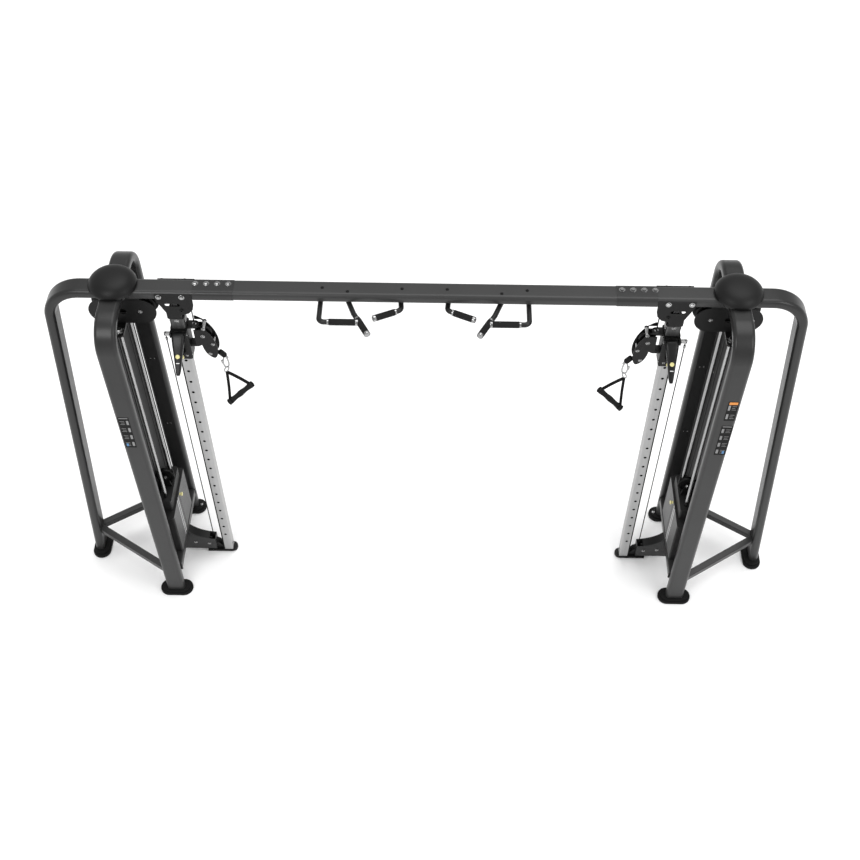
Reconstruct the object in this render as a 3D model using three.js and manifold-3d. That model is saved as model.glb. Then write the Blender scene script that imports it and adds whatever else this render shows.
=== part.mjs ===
// Dual-tower functional trainer: two weight-stack towers joined by an overhead beam, each with an
// adjustable pulley carriage on a perforated column.
// Millimetres, +X to the right, +Y away from the user, +Z up. The origin is on the floor, midway between the towers.
// Every tower piece is drawn once for the right-hand tower; the left-hand tower is its mirror image.
import * as THREE from 'three';
import { mergeVertices } from 'three/addons/utils/BufferGeometryUtils.js';
import Module from 'manifold-3d';

const wasm = await Module();
wasm.setup();

// ---- driving dimensions -------------------------------------------------------------------------------------

const GAP = 0.3;                     // between pieces that touch

const TUBE_WIDE = 105;               // main frame tube, bent the easy way
const TUBE_THIN = 54;
const TUBE_CORNER = 20;
const BEND_RADIUS = 170;             // of the outer leg's centreline
const ARCH_BEND_RADIUS = 130;        // of the front and rear legs' arch
const BEND_STEPS = 5;

const BEAM_Z = 2241;                 // centreline of beam, stubs and arches
const TOWER_X = 1508;                // centreline of the upright legs and of the hub
const LEG_Y = 305;                   // centreline of front and rear legs
const OUTER_FOOT_X = 2025;           // outer leg's centreline on the floor
const OUTER_LEAN = 0.085;            // how far the outer leg leans in, per unit of height

const PAD_LENGTH = 195;
const PAD_WIDTH = 107;
const PAD_HEIGHT = 32;

const CAP_RADIUS = 118;
const CAP_TOP = 2335;
const HUB_RADIUS = 72;

const SPLICE_INNER = 924;            // inboard end of the splice sleeve
const SPLICE_OUTER = 1121;
const SPLICE_WALL = 2.3;
const BEAM_END = 1109;

const BASE_TUBE = { x0: 1452, x1: 1512, z0: 178, z1: 228 };
const BRACE_SIZE = 40;

const ROD_X = 1504;
const ROD_Y = 90;
const ROD_RADIUS = 10;
const ROD_TOP = 2040;

const PLATE_X = [1457, 1551];        // weight plates
const PLATE_HALF_LENGTH = 185;
const STACK_SPLIT = 547.8;           // top of the plates left standing
const STACK_TOP = 570;
const HEAD_BLOCK_TOP = 655;
const SELECTOR_Z = 557;

const COLUMN_X = 1226;
const COLUMN_SIZE = 56;
const COLUMN_WALL = 3;
const COLUMN_BOTTOM = 22;
const COLUMN_TOP = 2115;
const HOLE_FIRST_Z = 184;
const HOLE_PITCH = 83;
const HOLE_COUNT = 23;
const HOLE_RADIUS = 6.8;

const SLEEVE_HALF = 42;              // pulley carriage round the column
const SLEEVE_BOTTOM = 1790;
const SLEEVE_TOP = 2005;
const NECK_HALF = 36;                // slimmer guide above the sleeve
const NECK_TOP = 2071;
const LOCK_Z = HOLE_FIRST_Z + 20 * HOLE_PITCH;

const SWIVEL_X = 1152;               // vertical axis of the swivel head, on the cable
const LEVER_PIVOT = { y: -62, z: 1986, pinRadius: 5 };
const PIN_TIP_Y = -28.6;             // lock pin's end at rest, just clear of the column
const ANCHOR_Z = 1930;               // eye that holds the cable's other end
const LUG_RADIUS = 24;
const LUG_THICK = 12;
const LOWER_LUG_Z = 1864;
const HEAD_PLATE_Y = [26, 31];
const EXIT_ANGLE = THREE.MathUtils.degToRad(38);   // cable's way out of the head, from straight down

const CABLE_RADIUS = 3;
// Sheaves in cable order: centre in the tower's plane and the radius of the cable's centreline.
const HEAD_SHEAVE = { x: 1114, z: 1945, r: 38 };
const BRACKET_SHEAVE = { x: 1182, z: 2156, r: 30 };
const INNER_TOP_SHEAVE = { x: 1395, z: 2123, r: 63 };
const STACK_SHEAVE = { x: 1508, z: 738, r: 50 };
const OUTER_TOP_SHEAVE = { x: 1596, z: 2123, r: 38 };
const BASE_SHEAVE = { x: 1596, z: 93, r: 38 };
const ARM_SHEAVE = { x: 1338, z: 85, r: 30 };
const SHEAVE_WIDTH = 20;
const SHEAVE_SIDES = 16;
const AXLE_RADIUS = 6;

const HOUSING_Y = [34, 39];          // side plates of the top pulley housing
const HOUSING_LOBE = 80;
const HOUSING_X = [1395, 1569];
const HOUSING_TOP = 2213;

const ARM_END_X = 1295;
const ARM_TOWER_X = BASE_TUBE.x0 - GAP;
const ARM_HEEL_X = 1497;              // end of the arm's side plates, under the base tube
const ARM_HALF_WIDTH = 30;

const APEX = new THREE.Vector3(1034, 0, 1645);     // ring that the hand grip hangs from

const PAINT = { color: 0x3a3a3c, roughness: 0.45, metalness: 0.35 };
const BLACK = { color: 0x161617, roughness: 0.5, metalness: 0.1 };
const RUBBER = { color: 0x1b1b1b, roughness: 0.85, metalness: 0 };
const STEEL = { color: 0xc4c6c8, roughness: 0.3, metalness: 0.9 };
const SILVER = { color: 0xb4b6b8, roughness: 0.4, metalness: 0.5 };
const IRON = { color: 0x6e6e6e, roughness: 0.6, metalness: 0.3 };
const SHROUD = { color: 0x4c4c4e, roughness: 0.6, metalness: 0.1 };
const YELLOW = { color: 0xd8d09a, roughness: 0.5, metalness: 0 };

// ---- solids -------------------------------------------------------------------------------------------------

function solid(geometry) {
  const bare = geometry.index ? geometry.toNonIndexed() : geometry.clone();
  bare.deleteAttribute('normal');
  bare.deleteAttribute('uv');
  const merged = mergeVertices(bare, 1e-3);
  return new wasm.Manifold(new wasm.Mesh({
    numProp: 3,
    vertProperties: new Float32Array(merged.attributes.position.array),
    triVerts: new Uint32Array(merged.index.array),
  }));
}

function join(...parts) {
  return parts.reduce((sum, part) => sum.add(part));
}

function cut(body, ...tools) {
  return tools.reduce((rest, tool) => rest.subtract(tool), body);
}

function geometryOf(body) {
  const mesh = body.getMesh();
  const geometry = new THREE.BufferGeometry();
  geometry.setAttribute('position', new THREE.BufferAttribute(new Float32Array(mesh.vertProperties), 3));
  geometry.setIndex(new THREE.BufferAttribute(new Uint32Array(mesh.triVerts), 1));
  geometry.computeVertexNormals();
  return geometry;
}

function box([x0, x1], [y0, y1], [z0, z1]) {
  const geometry = new THREE.BoxGeometry(x1 - x0, y1 - y0, z1 - z0);
  geometry.translate((x0 + x1) / 2, (y0 + y1) / 2, (z0 + z1) / 2);
  return solid(geometry);
}

// Round bars along each axis; from and to are the ends along that axis.
function barX(radius, from, to, y, z, sides = 12) {
  const geometry = new THREE.CylinderGeometry(radius, radius, to - from, sides);
  geometry.rotateZ(Math.PI / 2).translate((from + to) / 2, y, z);
  return solid(geometry);
}

function barY(radius, x, from, to, z, sides = 12) {
  const geometry = new THREE.CylinderGeometry(radius, radius, to - from, sides);
  geometry.translate(x, (from + to) / 2, z);
  return solid(geometry);
}

function barZ(radius, x, y, from, to, sides = 12) {
  const geometry = new THREE.CylinderGeometry(radius, radius, to - from, sides);
  geometry.rotateX(Math.PI / 2).translate(x, y, (from + to) / 2);
  return solid(geometry);
}

function extrude(shape, depth, curveSegments = 4) {
  return new THREE.ExtrudeGeometry(shape, { depth, bevelEnabled: false, curveSegments });
}

// A flat plate whose outline is drawn in X and Z.
function plateXZ(shape, [y0, y1], curveSegments) {
  return solid(extrude(shape, y1 - y0, curveSegments).rotateX(Math.PI / 2).translate(0, y1, 0));
}

function plateXY(shape, [z0, z1], curveSegments) {
  return solid(extrude(shape, z1 - z0, curveSegments).translate(0, 0, z0));
}

// A flat plate whose outline is drawn in Y and Z.
function plateYZ(shape, [x0, x1], curveSegments) {
  const turn = new THREE.Matrix4().makeBasis(
    new THREE.Vector3(0, 1, 0), new THREE.Vector3(0, 0, 1), new THREE.Vector3(1, 0, 0));
  return solid(extrude(shape, x1 - x0, curveSegments).applyMatrix4(turn).translate(x0, 0, 0));
}

function outline(...points) {
  return new THREE.Shape(points.map(([a, b]) => new THREE.Vector2(a, b)));
}

function roundedRect(width, height, radius, x = 0, y = 0) {
  const [w, h] = [width / 2 - radius, height / 2 - radius];
  const quarter = Math.PI / 2;
  const shape = new THREE.Shape();
  shape.absarc(x + w, y + h, radius, 0, quarter, false);
  shape.absarc(x - w, y + h, radius, quarter, 2 * quarter, false);
  shape.absarc(x - w, y - h, radius, 2 * quarter, 3 * quarter, false);
  shape.absarc(x + w, y - h, radius, 3 * quarter, 4 * quarter, false);
  return shape;
}

function obround(x0, x1, z, radius) {
  const shape = new THREE.Shape();
  shape.absarc(x1, z, radius, -Math.PI / 2, Math.PI / 2, false);
  shape.absarc(x0, z, radius, Math.PI / 2, 3 * Math.PI / 2, false);
  return shape;
}

// A run of straight stretches joined by round bends. Its stations stand only at the ends of the stretches and
// round each bend. The section's first axis stays on the given side direction.
class BentPath extends THREE.Curve {
  constructor(corners, radius, side, bendSteps = BEND_STEPS) {
    super();
    this.side = side;
    this.stations = [corners[0].clone()];
    this.tangents = [corners[1].clone().sub(corners[0]).normalize()];
    for (let i = 1; i < corners.length - 1; i += 1) {
      const into = corners[i].clone().sub(corners[i - 1]).normalize();
      const away = corners[i + 1].clone().sub(corners[i]).normalize();
      const turn = into.angleTo(away);
      const bend = Array.isArray(radius) ? radius[i - 1] : radius;
      const reach = bend * Math.tan(turn / 2);
      const start = corners[i].clone().addScaledVector(into, -reach);
      const inward = away.clone().addScaledVector(into, -Math.cos(turn)).normalize();
      const steps = Math.max(2, Math.round(bendSteps * turn / (Math.PI / 2)));
      for (let s = 0; s <= steps; s += 1) {
        const angle = turn * s / steps;
        this.stations.push(start.clone()
          .addScaledVector(into, bend * Math.sin(angle))
          .addScaledVector(inward, bend * (1 - Math.cos(angle))));
        this.tangents.push(into.clone().multiplyScalar(Math.cos(angle)).addScaledVector(inward, Math.sin(angle)));
      }
    }
    this.stations.push(corners.at(-1).clone());
    this.tangents.push(this.tangents.at(-1).clone());
  }

  getSpacedPoints() {
    return this.stations;
  }

  computeFrenetFrames() {
    const normals = this.tangents.map((tangent) =>
      this.side.clone().addScaledVector(tangent, -this.side.dot(tangent)).normalize());
    const binormals = this.tangents.map((tangent, i) => new THREE.Vector3().crossVectors(tangent, normals[i]));
    return { tangents: this.tangents, normals, binormals };
  }
}

function sweep(shape, path, curveSegments = 1) {
  return solid(new THREE.ExtrudeGeometry(shape, {
    steps: path.stations.length - 1, bevelEnabled: false, extrudePath: path, curveSegments,
  }));
}

function circle(radius) {
  return new THREE.Shape().absarc(0, 0, radius, 0, 2 * Math.PI, false);
}

// Width of the section lies along the side direction.
function frameTube(corners, side, clearance = 0, bend = BEND_RADIUS) {
  const section = roundedRect(TUBE_WIDE + 2 * clearance, TUBE_THIN + 2 * clearance, TUBE_CORNER);
  return sweep(section, new BentPath(corners, bend, side));
}

const point = (x, y, z) => new THREE.Vector3(x, y, z);
const ALONG_X = point(1, 0, 0);
const ALONG_Y = point(0, 1, 0);
const BELOW_PADS = box([-3000, 3000], [-1000, 1000], [-500, PAD_HEIGHT + GAP]);

// ---- tower frame --------------------------------------------------------------------------------------------

function legArch(clearance = 0) {
  const corners = [-1, 1].map((end) => point(TOWER_X, end * LEG_Y, 0));
  const tops = [-1, 1].map((end) => point(TOWER_X, end * LEG_Y, BEAM_Z));
  return frameTube([corners[0], tops[0], tops[1], corners[1]], ALONG_X, clearance, ARCH_BEND_RADIUS);
}

function spliceSleeve() {
  const sleeve = (grow) => roundedRect(TUBE_WIDE + 2 * grow, TUBE_THIN + 2 * grow, TUBE_CORNER + grow, 0, BEAM_Z);
  return cut(
    plateYZ(sleeve(SPLICE_WALL), [SPLICE_INNER, SPLICE_OUTER], 1),
    plateYZ(sleeve(GAP), [SPLICE_INNER - 1, BEAM_END + 1], 1));
}

function baseIdlerFork() {
  const cheek = outline([1500, 212], [1500, 184], [1580, 70], [1612, 70], [1612, 112], [1540, 212]);
  return join(
    plateXZ(cheek, [12, 16], 1),
    plateXZ(cheek, [-16, -12], 1),
    barY(AXLE_RADIUS, BASE_SHEAVE.x, -16, 16, BASE_SHEAVE.z));
}

function towerFrame() {
  const stub = plateYZ(roundedRect(TUBE_WIDE, TUBE_THIN, TUBE_CORNER, 0, BEAM_Z), [BEAM_END + 1, TOWER_X], 1);
  const hub = barZ(HUB_RADIUS, TOWER_X, 0, HOUSING_TOP + 0.7, BEAM_Z + TUBE_THIN / 2, 16);
  const baseTube = box([BASE_TUBE.x0, BASE_TUBE.x1], [-LEG_Y + 20, LEG_Y - 20], [BASE_TUBE.z0, BASE_TUBE.z1]);
  return cut(join(legArch(), stub, spliceSleeve(), hub, baseTube, baseIdlerFork()), BELOW_PADS);
}

function outerLegX(z) {
  return OUTER_FOOT_X - OUTER_LEAN * z;
}

function brace(end) {
  const from = new THREE.Vector2(outerLegX(BASE_TUBE.z1), 0);
  const to = new THREE.Vector2(TOWER_X + 20, end * LEG_Y);
  const run = to.clone().sub(from);
  const bar = new THREE.BoxGeometry(run.length(), BRACE_SIZE, BRACE_SIZE);
  bar.rotateZ(run.angle());
  bar.translate((from.x + to.x) / 2, (from.y + to.y) / 2, BASE_TUBE.z1 - BRACE_SIZE / 2);
  return solid(bar);
}

function outerLeg() {
  const leg = frameTube([
    point(TOWER_X + HUB_RADIUS + 6, 0, BEAM_Z),
    point(outerLegX(BEAM_Z), 0, BEAM_Z),
    point(OUTER_FOOT_X, 0, 0),
  ], ALONG_Y);
  const braces = cut(join(brace(-1), brace(1)), legArch(GAP));
  const inBoardEnds = box([0, TOWER_X + TUBE_WIDE / 2 + GAP], [-1000, 1000], [0, 1000]);
  return cut(join(leg, cut(braces, inBoardEnds)), BELOW_PADS);
}

function pad(x, y, alongX) {
  const half = (PAD_LENGTH - PAD_WIDTH) / 2;
  const geometry = extrude(obround(-half, half, 0, PAD_WIDTH / 2), PAD_HEIGHT, 3);
  return solid(geometry.rotateZ(alongX ? 0 : Math.PI / 2).translate(x, y, 0));
}

// Outer edge of each pad is what the tower's depth and width are measured over.
const PAD_Y = 302.5;
const OUTER_PAD_X = 2014;

function hubCap() {
  const rim = BEAM_Z + TUBE_THIN / 2 + 0.6;
  const profile = new THREE.Path();
  profile.moveTo(0, rim);
  profile.lineTo(CAP_RADIUS - 4, rim);
  profile.lineTo(CAP_RADIUS, rim + 5);
  profile.lineTo(CAP_RADIUS, rim + 14);
  profile.bezierCurveTo(CAP_RADIUS - 14, CAP_TOP - 16, CAP_RADIUS * 0.55, CAP_TOP, 0, CAP_TOP);
  const dome = new THREE.LatheGeometry(profile.getPoints(4), 20);
  return solid(dome.rotateX(Math.PI / 2).translate(TOWER_X, 0, 0));
}

function stackShroud() {
  return box([1566, 1570], [-275, 275], [BASE_TUBE.z1 + 10, 1990]);
}

// ---- weight stack -------------------------------------------------------------------------------------------

const stackCentre = (PLATE_X[0] + PLATE_X[1]) / 2;

function rodHoles() {
  return [-1, 1].map((end) => barZ(ROD_RADIUS + 0.6, ROD_X, end * ROD_Y, 200, 800));
}

function guideRods() {
  const rods = [-1, 1].map((end) => barZ(ROD_RADIUS, ROD_X, end * ROD_Y, BASE_TUBE.z1 + GAP, ROD_TOP));
  const tie = box([ROD_X - 24, ROD_X + 24], [-ROD_Y - 24, ROD_Y + 24], [ROD_TOP - 14, ROD_TOP - 2]);
  return join(...rods, tie);
}

function fixedWeights() {
  const plates = box(PLATE_X, [-PLATE_HALF_LENGTH, PLATE_HALF_LENGTH], [BASE_TUBE.z1 + 1, STACK_SPLIT]);
  return cut(plates, ...rodHoles());
}

function liftingWeights() {
  const plates = box(PLATE_X, [-PLATE_HALF_LENGTH, PLATE_HALF_LENGTH], [STACK_SPLIT + GAP, STACK_TOP]);
  const head = box([stackCentre - 35, stackCentre + 35], [-130, 130], [STACK_TOP - 1, HEAD_BLOCK_TOP]);
  const cheeks = [-1, 1].map((end) => {
    const cheek = obround(STACK_SHEAVE.x, STACK_SHEAVE.x + 0.1, STACK_SHEAVE.z, 20);
    const foot = outline([1478, 650], [1538, 650], [1526, 738], [1490, 738]);
    const span = end < 0 ? [-17, -13] : [13, 17];
    return join(plateXZ(cheek, span, 4), plateXZ(foot, span));
  });
  const axle = barY(AXLE_RADIUS, STACK_SHEAVE.x, -17, 17, STACK_SHEAVE.z);
  const pinHole = barX(5.6, PLATE_X[0] - 5, PLATE_X[0] + 50, 0, SELECTOR_Z);
  return cut(join(plates, head, ...cheeks, axle), pinHole, ...rodHoles());
}

function selectorPin() {
  const shaft = barX(5, PLATE_X[0] - 10, PLATE_X[0] + 45, 0, SELECTOR_Z);
  const knob = barX(12, PLATE_X[0] - 22, PLATE_X[0] - 4, 0, SELECTOR_Z);
  return join(shaft, knob);
}

// ---- sheaves and their holders ------------------------------------------------------------------------------

function sheave({ x, z, r }) {
  const [half, bore, rim, root] = [SHEAVE_WIDTH / 2, AXLE_RADIUS + 0.6, r + 5, r - CABLE_RADIUS - 2];
  const profile = [[bore, -half], [rim, -half], [root, -2], [root, 2], [rim, half], [bore, half], [bore, -half]]
    .map(([radius, y]) => new THREE.Vector2(radius, y));
  return solid(new THREE.LatheGeometry(profile, SHEAVE_SIDES).translate(x, 0, z));
}

function pulleyHousing() {
  const shape = obround(...HOUSING_X, INNER_TOP_SHEAVE.z, HOUSING_LOBE);
  const cheeks = [plateXZ(shape, HOUSING_Y, 4), plateXZ(shape, [-HOUSING_Y[1], -HOUSING_Y[0]], 4)];
  const roof = box([HOUSING_X[0] - 10, HOUSING_X[1] + 10], [-HOUSING_Y[1], HOUSING_Y[1]],
    [INNER_TOP_SHEAVE.z + HOUSING_LOBE - 3, HOUSING_TOP]);
  const axles = [INNER_TOP_SHEAVE, OUTER_TOP_SHEAVE].map((at) =>
    barY(AXLE_RADIUS, at.x, -HOUSING_Y[1], HOUSING_Y[1], at.z));
  return join(...cheeks, roof, ...axles);
}

function columnBracket() {
  const shape = outline(
    [1303, 2259], [1303, 2226], [1262, 2138], [1262, 2097], [1192, 2097], [1192, 2121], [1150, 2134],
    [1128, 2160], [1121, 2190], [1121, 2259]);
  shape.holes.push(roundedRect(74, 17, 8, 1224, 2190));
  const faceY = TUBE_WIDE / 2 + GAP;
  const plates = [plateXZ(shape, [faceY, faceY + 5], 2), plateXZ(shape, [-faceY - 5, -faceY], 2)];
  const saddle = box([1196, 1300], [-faceY - 1, faceY + 1], [2201, 2213.7]);
  const socket = cut(
    box([1192, 1262], [-faceY - 1, faceY + 1], [2097, 2117]),
    box([1197.7, 1254.3], [-28.3, 28.3], [2075, 2175]),
    box([1120, 1225], [-14, 14], [2075, 2175]));
  const axle = barY(AXLE_RADIUS, BRACKET_SHEAVE.x, -faceY - 1, faceY + 1, BRACKET_SHEAVE.z);
  return join(...plates, saddle, socket, axle);
}

function column() {
  const square = (size, radius) => roundedRect(size, size, radius, COLUMN_X, 0);
  const tube = cut(
    plateXY(square(COLUMN_SIZE, 5), [COLUMN_BOTTOM + GAP, COLUMN_TOP], 1),
    plateXY(square(COLUMN_SIZE - 2 * COLUMN_WALL, 2), [0, 3000], 1));
  const holes = Array.from({ length: HOLE_COUNT }, (_, i) =>
    barY(HOLE_RADIUS, COLUMN_X, -40, 0, HOLE_FIRST_Z + i * HOLE_PITCH, 6));
  return cut(tube, ...holes);
}

function lowerArm() {
  const shape = new THREE.Shape();
  shape.moveTo(ARM_END_X, 30);
  shape.lineTo(ARM_HEEL_X, 30);
  shape.lineTo(ARM_HEEL_X, BASE_TUBE.z0 - GAP);
  shape.lineTo(ARM_TOWER_X, BASE_TUBE.z0 - GAP);
  shape.lineTo(ARM_TOWER_X, 208);
  shape.quadraticCurveTo(1400, 138, ARM_END_X, 126);
  const arm = plateXZ(shape, [-ARM_HALF_WIDTH, ARM_HALF_WIDTH], 5);
  const trough = box([ARM_END_X + 5, 1500], [-ARM_HALF_WIDTH + 5, ARM_HALF_WIDTH - 5], [36, 400]);
  const foot = join(
    box([1194, 1353], [-34, 34], [7, COLUMN_BOTTOM]),
    barZ(34, 1194 + 12, 0, 7, COLUMN_BOTTOM, 12),
    box([ARM_END_X, 1353], [-28, 28], [COLUMN_BOTTOM - 1, 31]),
    box([1254 + GAP, ARM_END_X + 2], [-20, 20], [COLUMN_BOTTOM - 1, 86]));
  const axle = barY(AXLE_RADIUS, ARM_SHEAVE.x, -ARM_HALF_WIDTH, ARM_HALF_WIDTH, ARM_SHEAVE.z);
  return join(cut(arm, trough), foot, axle);
}

// ---- pulley carriage ----------------------------------------------------------------------------------------

function carriage() {
  const square = (half, radius) => roundedRect(2 * half, 2 * half, radius, COLUMN_X, 0);
  const sleeve = join(
    plateXY(square(SLEEVE_HALF, 8), [SLEEVE_BOTTOM, SLEEVE_TOP], 1),
    plateXY(square(NECK_HALF, 6), [SLEEVE_TOP - 1, NECK_TOP], 1));
  const lug = (z) => join(
    box([SWIVEL_X, COLUMN_X - SLEEVE_HALF + 2], [-LUG_RADIUS, LUG_RADIUS], [z, z + LUG_THICK]),
    barZ(LUG_RADIUS, SWIVEL_X, 0, z, z + LUG_THICK, 14));
  const pivotEars = [-1, 1].map((end) => box(
    [COLUMN_X + end * 38 - 4, COLUMN_X + end * 38 + 4], [-72, -SLEEVE_HALF + 2], [1972, 2000]));
  const pivotPin = barX(LEVER_PIVOT.pinRadius, COLUMN_X - 38, COLUMN_X + 38, LEVER_PIVOT.y, LEVER_PIVOT.z);
  const pinBoss = barY(13, COLUMN_X, -58, -SLEEVE_HALF + 2, LOCK_Z, 12);
  const anchorEye = cut(
    join(
      box([COLUMN_X + SLEEVE_HALF - 2, 1308], [-5, 5], [ANCHOR_Z - 8, ANCHOR_Z + 8]),
      barZ(9, 1308, 0, ANCHOR_Z - 8, ANCHOR_Z + 8, 12)),
    barZ(CABLE_RADIUS + 0.5, 1308, 0, ANCHOR_Z - 50, ANCHOR_Z + 4, 10));
  return cut(
    join(sleeve, lug(SLEEVE_TOP - LUG_THICK), lug(LOWER_LUG_Z), ...pivotEars, pivotPin, pinBoss, anchorEye),
    box([COLUMN_X - 28.8, COLUMN_X + 28.8], [-28.8, 28.8], [1700, 2200]),
    barZ(12.6, SWIVEL_X, 0, SLEEVE_TOP - 30, SLEEVE_TOP + 10),
    barZ(8.8, SWIVEL_X, 0, LOWER_LUG_Z - 10, LOWER_LUG_Z + 30),
    barY(6.9, COLUMN_X, -80, 0, LOCK_Z, 10));
}

function releaseLever() {
  const side = outline(
    [-50, 1998], [-74, 2000], [-110, 1968], [-176, 1890], [-205, 1858], [-212, 1848], [-204, 1842],
    [-176, 1850], [-140, 1884], [-84, 1946], [-74, 1962], [-50, 1974]);
  const front = outline(
    [COLUMN_X - 33, 2010], [COLUMN_X - 33, 1960], [COLUMN_X - 12, 1862], [COLUMN_X - 8, 1842], [COLUMN_X, 1838],
    [COLUMN_X + 8, 1842], [COLUMN_X + 12, 1862], [COLUMN_X + 33, 1960], [COLUMN_X + 33, 2010]);
  const blade = plateYZ(side, [COLUMN_X - 60, COLUMN_X + 60], 1).intersect(plateXZ(front, [-300, 0], 1));
  const bore = LEVER_PIVOT.pinRadius + 0.7;
  return cut(blade, barX(bore, COLUMN_X - 60, COLUMN_X + 60, LEVER_PIVOT.y, LEVER_PIVOT.z));
}

function lockPin() {
  return join(
    barY(5.5, COLUMN_X, PIN_TIP_Y - 54, PIN_TIP_Y, LOCK_Z, 10),
    barY(11, COLUMN_X, PIN_TIP_Y - 58, PIN_TIP_Y - 44, LOCK_Z));
}

function swivelHead() {
  const crescent = new THREE.Shape();
  const lugNotch = [SLEEVE_TOP - LUG_THICK - 4, SLEEVE_TOP + 4];
  crescent.moveTo(SWIVEL_X + 4, 1880);
  crescent.lineTo(SWIVEL_X + 4, lugNotch[0]);
  crescent.lineTo(1117, lugNotch[0]);
  crescent.lineTo(1117, lugNotch[1]);
  crescent.lineTo(SWIVEL_X + 4, lugNotch[1]);
  crescent.lineTo(SWIVEL_X + 4, 2034);
  crescent.lineTo(1146, 2031);
  crescent.bezierCurveTo(1098, 2006, 1056, 1940, 1051, 1860);
  crescent.bezierCurveTo(1049, 1826, 1056, 1794, 1072, 1786);
  crescent.bezierCurveTo(1096, 1790, 1120, 1826, 1126, 1880);
  const [near, far] = HEAD_PLATE_Y;
  const plates = [plateXZ(crescent, [near, far], 4), plateXZ(crescent, [-far, -near], 4)];
  const blocks = [[1880, 1892], [lugNotch[0] - 8, lugNotch[0]]].map((span) =>
    box([1140, SWIVEL_X + 4], [-near - 1, near + 1], span));
  const spacers = [[1070, 1888], [1092, 1818], [1105, 1997]].map(([x, z]) => barY(6, x, -near - 1, near + 1, z, 8));
  const axle = barY(AXLE_RADIUS, HEAD_SHEAVE.x, -far, far, HEAD_SHEAVE.z);
  const collar = barZ(11.5, SWIVEL_X, 0, lugNotch[0] - 6, SLEEVE_TOP + 2);
  const pivot = barZ(8, SWIVEL_X, 0, LOWER_LUG_Z, 1886);
  const bore = barZ(CABLE_RADIUS + 2, SWIVEL_X, 0, 1950, 2100);
  return cut(join(...plates, ...blocks, ...spacers, axle, collar, pivot), bore);
}

// The point on the cable's way out of the head, at a given distance from where it leaves the sheave.
function exitPoint(distance) {
  return point(
    HEAD_SHEAVE.x + HEAD_SHEAVE.r * Math.cos(EXIT_ANGLE) - distance * Math.sin(EXIT_ANGLE), 0,
    HEAD_SHEAVE.z - HEAD_SHEAVE.r * Math.sin(EXIT_ANGLE) - distance * Math.cos(EXIT_ANGLE));
}

const STOP_START = 146;
const STOP_END = 198;

function snapHook() {
  const stop = new THREE.CylinderGeometry(11, 15, STOP_END - STOP_START, 12);
  const middle = exitPoint((STOP_START + STOP_END) / 2);
  stop.rotateX(Math.PI / 2).rotateY(EXIT_ANGLE).translate(middle.x, 0, middle.z);
  const loop = new THREE.TorusGeometry(17, 4, 5, 12).rotateX(Math.PI / 2).scale(1, 1, 2.4);
  loop.translate(APEX.x - 4, 0, APEX.z + 80);
  const ring = new THREE.TorusGeometry(12, 3, 5, 10).rotateY(Math.PI / 2).rotateX(Math.PI / 2);
  ring.rotateZ(Math.PI / 2).translate(APEX.x - 2, 0, APEX.z + 36);
  return { stop: solid(stop), loop: solid(loop), ring: solid(ring) };
}

// Grip bar ends, and webbing from each end up to the ring.
const GRIP_ENDS = [point(1026, -94, 1514), point(921, 35, 1514)];

function stripBetween(from, to, width, thick, across) {
  const run = to.clone().sub(from);
  const along = run.clone().normalize();
  const third = new THREE.Vector3().crossVectors(along, across).normalize();
  const second = new THREE.Vector3().crossVectors(third, along);
  const strip = new THREE.BoxGeometry(run.length(), width, thick);
  strip.applyMatrix4(new THREE.Matrix4().makeBasis(along, second, third));
  return solid(strip.translate(...from.clone().add(to).multiplyScalar(0.5).toArray()));
}

function handGrip() {
  const [near, far] = GRIP_ENDS;
  const along = far.clone().sub(near).normalize();
  const profile = [[0, -84], [17, -84], [17, -72], [12, -70], [16, -30], [17, 0], [16, 30], [12, 70],
    [17, 72], [17, 84], [0, 84]].map(([radius, y]) => new THREE.Vector2(radius, y));
  const grip = new THREE.LatheGeometry(profile, 10);
  grip.applyQuaternion(new THREE.Quaternion().setFromUnitVectors(point(0, 1, 0), along));
  grip.translate((near.x + far.x) / 2, (near.y + far.y) / 2, near.z);
  const normal = new THREE.Vector3().crossVectors(along, APEX.clone().sub(near)).normalize();
  const straps = [near, far].map((end, i) => {
    const inset = end.clone().addScaledVector(along, i === 0 ? 8 : -8);
    return stripBetween(inset, APEX, 24, 3, normal);
  });
  return join(solid(grip), ...straps);
}

// ---- cable --------------------------------------------------------------------------------------------------

// From the stop under the head, up the swivel axis, over the beam-side sheaves, round the stack's sheave, down the
// tower's outer side, under the base and up to the carriage's anchor eye.
function cable() {
  const [head, bracket, inner] = [HEAD_SHEAVE, BRACKET_SHEAVE, INNER_TOP_SHEAVE];
  const [stack, outer, base, arm] = [STACK_SHEAVE, OUTER_TOP_SHEAVE, BASE_SHEAVE, ARM_SHEAVE];
  const start = exitPoint(STOP_START - GAP);
  const bendZ = head.z + head.r * Math.tan(EXIT_ANGLE / 2) * -1;
  const corners = [
    start,
    point(SWIVEL_X, 0, bendZ),
    point(SWIVEL_X, 0, bracket.z + bracket.r),
    point(inner.x + inner.r, 0, inner.z + inner.r),
    point(stack.x - stack.r, 0, stack.z - stack.r),
    point(stack.x + stack.r, 0, stack.z - stack.r),
    point(outer.x - outer.r, 0, outer.z + outer.r),
    point(outer.x + outer.r, 0, outer.z + outer.r),
    point(base.x + base.r, 0, base.z - base.r),
    point(arm.x - arm.r, 0, arm.z - arm.r),
    point(1308, 0, ANCHOR_Z),
  ];
  const radii = [head.r, bracket.r, inner.r, stack.r, stack.r, outer.r, outer.r, base.r, arm.r]
    .map((radius) => radius - 0.01);
  return sweep(circle(CABLE_RADIUS), new BentPath(corners, radii, ALONG_Y, 3), 3);
}

// ---- beam and pull-up handles -------------------------------------------------------------------------------

function beam() {
  return plateYZ(roundedRect(TUBE_WIDE, TUBE_THIN, TUBE_CORNER, 0, BEAM_Z), [-BEAM_END, BEAM_END], 1);
}

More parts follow.
